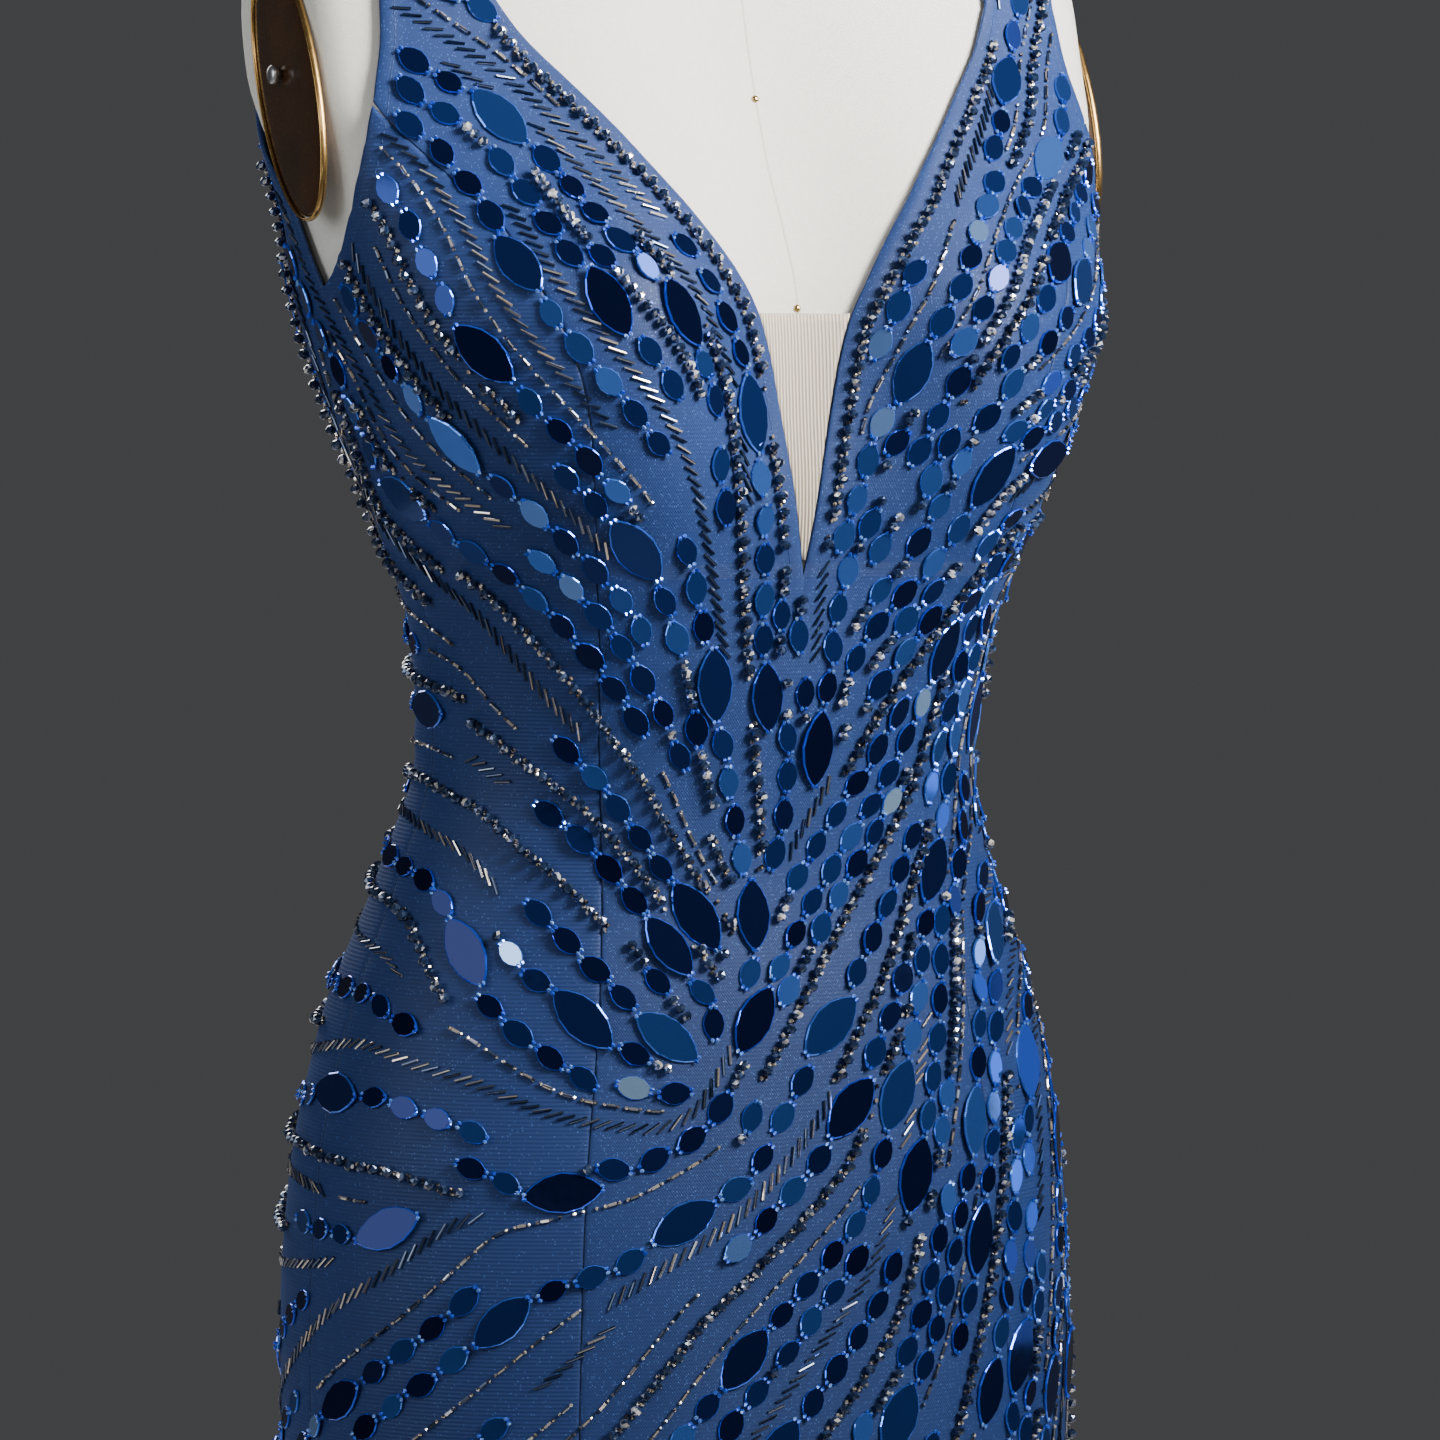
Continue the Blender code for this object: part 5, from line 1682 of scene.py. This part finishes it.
bugle_table = clear_of_zip(clear_of_stones(bugles, 1.7))
crystal_table = clear_of_zip(clear_of_stones(crystals, 1.9))
seed_table = clear_of_zip(clear_of_stones(seeds, 0.8))
stone_table = clear_of_zip(np.array(stones))
print("kept:", len(stone_table), len(bugle_table), len(crystal_table), len(seed_table))

# %% [markdown]
# ## Shapes of the stones and beads
# Each kind is modelled once, one millimetre long, and then stamped along the
# rows by plain array sums. Stamping thousands of small meshes into one piece
# keeps the scene light: a piece for each kind and part of the gown.

# %% One stone, one crystal, one tube
STONE_LAYERS = (  # share of the outline along and across, and height
    (1.0, 1.0, 0.0), (1.0, 1.0, 0.55), (0.958, 0.93, 1.0))


def stone_shape():
    """A lens with pointed tips: a low wall, a bright bevel and a flat face."""
    along = np.array((-1.0, -0.93, -0.74, -0.42, 0.0, 0.42, 0.74, 0.93, 1.0))
    wide = (1 - along ** 2) ** 0.86
    outline = 0.5 * np.concatenate([np.stack([along, -wide], 1),
                                    np.stack([along, wide], 1)[-2:0:-1]])
    points, faces = stack_rings([np.column_stack([outline * keep, np.full(len(outline), up)])
                                 for *keep, up in STONE_LAYERS])
    del faces[-2]  # no face underneath
    return points, faces, [1] * (len(faces) - 1) + [0]


def turned_shape(profile, sides):
    """A bead turned about its thread, which runs along it."""
    shift = math.pi / sides if len(profile) > 3 else 0
    rings = []
    for k, (along, radius) in enumerate(profile):
        turn = full_turn(sides) + k * shift
        rings.append(np.column_stack([np.full(sides, along), radius * np.cos(turn),
                                      radius * np.sin(turn)]))
    points, faces = stack_rings(rings)
    return points, [face[::-1] for face in faces], [0] * len(faces)


STONE_SHAPE = stone_shape()
CRYSTAL_SHAPE = turned_shape(((-0.5, 0.20), (-0.20, 0.48), (0.20, 0.48), (0.5, 0.20)), 8)
TUBE_SHAPE = turned_shape(((-0.5, 0.5), (0.5, 0.5)), 7)
SEED_SHAPE = turned_shape(((-0.5, 0.26), (0.0, 0.5), (0.5, 0.26)), 6)
TIP_SHAPE = turned_shape(((-0.5, 0.2), (0.0, 0.5), (0.5, 0.2)), 4)
for label, shape in (("stone", STONE_SHAPE), ("crystal", CRYSTAL_SHAPE), ("tube", TUBE_SHAPE)):
    print(label, "points:", len(shape[0]), "faces:", len(shape[1]))


# %% Stamp a shape many times
def stamp(name, shape, spots, axes, sizes, tones, finishes, slot, glint=0.0, smooth=False):
    """Glint is how far the tone of one facet may differ from its bead's tone; it paints glints,
    some facets bright and others dark.
    """
    corners, faces, which = shape
    amount, count = len(spots), len(corners)
    placed = spots[:, None, :] + np.einsum("npk,nkc->npc", corners[None] * sizes[:, None, :],
                                           axes)
    loops = (np.concatenate(faces)[None, :] + (np.arange(amount) * count)[:, None]).ravel()
    lengths = np.tile([len(face) for face in faces], amount)
    starts = np.concatenate([[0], np.cumsum(lengths)[:-1]])
    mesh = bpy.data.meshes.new(name)
    mesh.vertices.add(amount * count)
    mesh.vertices.foreach_set("co", (placed * MM).ravel())
    mesh.loops.add(len(loops))
    mesh.loops.foreach_set("vertex_index", loops.astype(np.int32))
    mesh.polygons.add(len(starts))
    mesh.polygons.foreach_set("loop_start", starts.astype(np.int32))
    for finish in finishes:
        mesh.materials.append(finish)
    mesh.polygons.foreach_set("material_index", np.tile(which, amount).astype(np.int32))
    mesh.polygons.foreach_set("use_smooth", np.full(len(starts), smooth))
    mesh.update(calc_edges=True)
    tone = mesh.attributes.new("tone", "FLOAT", "FACE")
    # painted glints: each facet's tone is moved at random
    facets = np.repeat(tones, len(faces)) + glint * dice.normal(0, 1, len(starts))
    tone.data.foreach_set("value", np.clip(facets, 0, 1).astype(np.float32))
    piece = into_scene(name, mesh)
    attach(piece, GOWN)
    triangles = amount * sum(len(face) - 2 for face in faces)
    print(name, "beads:", amount, "triangles:", triangles)
    return piece, triangles


def by_region(table):
    """Splits a table of beads into the bodice's front, its back and the skirt."""
    skirt = table[:, 1] < -190
    front = np.abs(table[:, 0]) < 90
    return (("front", table[~skirt & front]), ("back", table[~skirt & ~front]),
            ("skirt_front", table[skirt & front]), ("skirt_back", table[skirt & ~front]))


# %% Sew on the stones and their blue seeds
BEADWORK = []
TILT, HIGHEST_LIFT = math.radians(3.6), 1.1
TIP_SIZE = (1.9, 1.9, 1.9)
for region, table in by_region(stone_table):
    spots, axes = frames_of(table)
    count, length, width = len(table), table[:, 3], table[:, 4]
    tip = dice.normal(0, 1, count) * TILT * 16.0 / length
    roll = dice.normal(0, 1, count) * TILT * 1.3
    axes = turned(axes, dice.normal(0, 0.10, count), tip, roll)
    lift = 0.12 + 0.30 * (np.abs(np.sin(tip)) * length + np.abs(np.sin(roll)) * width)
    seat = spots + np.minimum(lift, HIGHEST_LIFT)[:, None] * axes[:, 2]
    # the stones' tones pick painted reflections on their faces; below, the blue seeds get painted
    # glints on their facets
    BEADWORK.append(stamp("mirror_stones_" + region, STONE_SHAPE, seat, axes, table[:, 3:6],
                          table[:, 6], [STONE_FACE, STONE_RIM], "mirror_stones"))
    ends = np.concatenate([seat + (0.5 * length[:, None] - 0.8) * axes[:, 0] * way
                           + 1.05 * axes[:, 1] * side + 1.1 * axes[:, 2]
                           for way in (-1, 1) for side in (-1, 1)])
    BEADWORK.append(stamp("stone_seeds_" + region, TIP_SHAPE, ends, np.tile(axes, (4, 1, 1)),
                          np.tile(TIP_SIZE, (4 * count, 1)), dice.random(4 * count), [TIP],
                          "mirror_stones", 0.3))


# %% Sew on bugles, crystals and seeds
# painted glints: each kind's glint value moves the tone of every facet at random, so some are
# painted bright
for label, whole, shape, finish, slot, glint in (
        ("bugles_", bugle_table, TUBE_SHAPE, BUGLE, "bugle_beads", 0.24),
        ("crystals_", crystal_table, CRYSTAL_SHAPE, CRYSTAL, "crystal_beads", 0.32),
        ("seeds_", seed_table, SEED_SHAPE, SEED, "bugle_beads", 0.32)):
    for region, table in by_region(whole):
        spots, axes = frames_of(table)
        axes = turned(axes, 0.0, dice.normal(0, 0.05, len(table)), dice.random(len(table)) * 0.8)
        upright = outward(np.radians(table[:, 0]), table[:, 1])
        seat = spots + (0.5 * table[:, 4:5] + 0.06) * upright
        BEADWORK.append(stamp(label + region, shape, seat, axes, table[:, 3:6], table[:, 6],
                              [finish], slot, glint))
print("beadwork triangles:", sum(triangles for _, triangles in BEADWORK))

# %% [markdown]
# ## Sewing and small things
# The turned edge is held by a line of small stitches 6 mm from it. Two brass
# pins mark the middle of the form's chest.

# %% Stitches along the neck and the armholes
STITCH, STITCH_THICK, STITCH_GAP = 2.3, 0.42, 0.8


def sew_stitches():
    spots, axes = [], []
    for line in EDGES[:4]:
        line = inset_line(line, TURN_WIDE)
        here = even_places(line, STITCH + STITCH_GAP)[:2]
        ahead = even_places(line, STITCH + STITCH_GAP, 2.6)[:2]
        count = min(len(here[0]), len(ahead[0]))
        angle, height = (values[:count] for values in here)
        way = figure(*(values[:count] for values in ahead)) - figure(angle, height)
        for sign in (1, -1):
            out = outward(sign * angle, height)
            across = unit(np.cross(out, unit(way * np.array([sign, 1, 1]))))
            spots.append(cloth_top(sign * angle, height) + 0.05 * out)
            axes.append(np.stack([np.cross(across, out), across, out], axis=1))
    spots, axes = np.concatenate(spots), np.concatenate(axes)
    sizes = np.tile((STITCH, STITCH_THICK, STITCH_THICK), (len(spots), 1))
    shape = turned_shape(((-0.5, 0.25), (-0.3, 0.5), (0.3, 0.5), (0.5, 0.25)), 5)
    return stamp("edge_stitches", shape, spots, axes, sizes, np.zeros(len(spots)),
                 [BLUE_THREAD], "gown_cloth", smooth=True)


STITCHES = sew_stitches()


# %% Brass pins in the form
PIN_HEIGHTS = (277.0, 188.5)
PIN_LAYERS = ((0.0, 1.5), (0.45, 1.6), (0.9, 1.35), (1.2, 0.8), (1.3, 0.3))  # rise, radius


def make_pins():
    turn = full_turn(18)[:, None]
    points, faces = [], []
    for height in PIN_HEIGHTS:
        out, across = outward(0.0, height), np.array([1.0, 0.0, 0.0])
        spot, up = figure(0.0, height) - CLEARANCE * out, np.cross(out, across)
        more, sides = stack_rings([
            spot + rise * out + radius * (np.cos(turn) * across + np.sin(turn) * up)
            for rise, radius in PIN_LAYERS])
        faces += [tuple(i + len(points) for i in face) for face in sides]
        points.extend(more)
    return make_piece("form_pins", points, faces, [BRASS_PIN])


make_pins()
print("pins:", len(PIN_HEIGHTS))

# %% Which beadwork lies on which panel
on_back = [piece for piece, _ in BEADWORK if "back" in piece.name]
on_front = [piece for piece, _ in BEADWORK if "back" not in piece.name] + [STITCHES[0]]
for piece, flat, area in PANELS:
    sewn_on = {"front_centre_cloth": on_front, "back_left_cloth": on_back}.get(piece.name, [])
    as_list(sewn_on)
print("sheets:", len(PANELS) + 1)

# %% [markdown]
# ## Floor, light and camera
# A pale floor, a dim even world and large soft lights keep the mirror faces
# dark and calm: besides the reflections painted into their tones, they shine
# only where a light stands in their reflection.
# The camera stands to the wearer's right and looks slightly down.

# %% Floor and world
FLOOR_RADIUS, FLOOR_HEIGHT = 3.6, -0.0005  # metres


def make_floor():
    finish, tree, shader, place = start_material("studio_floor")
    slow = mottled(tree, place, 1.5, (0.66, 0.65, 0.63), (0.72, 0.71, 0.69), 1.0)
    fill(tree, shader, {"Base Color": slow["Colour"], "Roughness": 0.7})
    mesh = bpy.data.meshes.new("floor")
    mesh.from_pydata([(FLOOR_RADIUS * math.cos(t), FLOOR_RADIUS * math.sin(t), FLOOR_HEIGHT)
                      for t in full_turn(96)], [], [tuple(range(96))])
    mesh.materials.append(finish)
    into_scene("floor", mesh)


make_floor()
world = bpy.data.worlds.new("studio")
bpy.context.scene.world = world
world.use_nodes = True
background = world.node_tree.nodes["Background"]
background.inputs["Color"].default_value = (0.060, 0.061, 0.065, 1)
background.inputs["Strength"].default_value = 1.0
print("world:", tuple(background.inputs["Color"].default_value))

# %% Soft lights
LIGHTS = (  # name, place, aim, size, watts, colour, width of the beam in degrees
    ("key", (0.85, -1.35, 2.25), (0.0, 0.0, 1.63), (0.9, 0.9), 20.0, (1.0, 0.99, 0.97), 54),
    ("fill", (-2.1, -0.2, 1.5), (0.0, 0.0, 0.85), (1.4, 1.4), 6.5, (0.88, 0.94, 1.0), 98),
    ("floor_light", (0.9, -1.9, 2.6), (0.35, -0.55, 0.0), (0.6, 0.6), 5.0, (1.0, 0.99, 0.97), 42),
    ("rim_left", (2.3, -0.3, 1.4), (0.0, 0.0, 1.1), (0.4, 1.6), 4.5, (0.25, 0.42, 1.0), 180),
    ("glint_high", (-0.5, -2.5, 2.6), (0.0, 0.0, 1.2), (0.09, 0.09), 5.5, (1.0, 0.96, 0.9), 180),
    ("glint_left", (-2.0, -1.9, 2.3), (0.0, 0.0, 1.2), (0.09, 0.09), 4.5, (1.0, 0.97, 0.93), 180),
    ("glint_right", (1.3, -2.4, 1.7), (0.0, 0.0, 1.2), (0.09, 0.09), 4.5, (1.0, 0.97, 0.93), 180),
    ("glint_low", (-1.1, -2.7, 0.9), (0.0, 0.0, 1.0), (0.09, 0.09), 2.5, (1.0, 0.97, 0.93), 180),
    ("back", (0.4, 2.6, 2.4), (0.0, 0.0, 1.1), (1.6, 1.6), 40.0, (1.0, 0.98, 0.95), 180),
)
for name, place, aim, size, watts, colour, beam in LIGHTS:
    lamp = bpy.data.lights.new(name, "AREA")
    lamp.shape = "RECTANGLE"
    lamp.size, lamp.size_y = size
    lamp.energy = watts
    lamp.color = colour
    lamp.spread = math.radians(beam)
    light = into_scene(name, lamp)
    light.location = place
    light.rotation_euler = (Vector(aim) - Vector(place)).to_track_quat("-Z", "Y").to_euler()
print("lights:", len(LIGHTS))

# %% Camera
AZIMUTH, LOOK_DOWN = math.radians(28.0), math.radians(3.0)
DISTANCE, MM_PER_PIXEL = 2600.0, 0.43
IMAGE_SIZE, SENSOR_WIDTH = 1440.0, 36.0
WAIST_PIXEL = (694.0, 750.0)
ahead = np.array([math.sin(AZIMUTH) * math.cos(LOOK_DOWN),
                  math.cos(AZIMUTH) * math.cos(LOOK_DOWN), -math.sin(LOOK_DOWN)])
right = np.array([math.cos(AZIMUTH), -math.sin(AZIMUTH), 0.0])
above = np.cross(right, ahead)
stand = (np.array([0.0, 0.0, WAIST_HEIGHT]) - ahead * DISTANCE
         + right * (IMAGE_SIZE / 2 - WAIST_PIXEL[0]) * MM_PER_PIXEL
         - above * (IMAGE_SIZE / 2 - WAIST_PIXEL[1]) * MM_PER_PIXEL)
lens = bpy.data.cameras.new("camera")
lens.sensor_width = SENSOR_WIDTH
lens.lens = SENSOR_WIDTH * DISTANCE / MM_PER_PIXEL / IMAGE_SIZE
lens.clip_start, lens.clip_end = 0.05, 50.0
camera = into_scene("camera", lens)
camera.location = stand * MM
camera.rotation_euler = Vector(ahead).to_track_quat("-Z", "Y").to_euler()
bpy.context.scene.camera = camera
print("camera:", [round(float(v), 4) for v in camera.location], "lens:", round(lens.lens, 2))
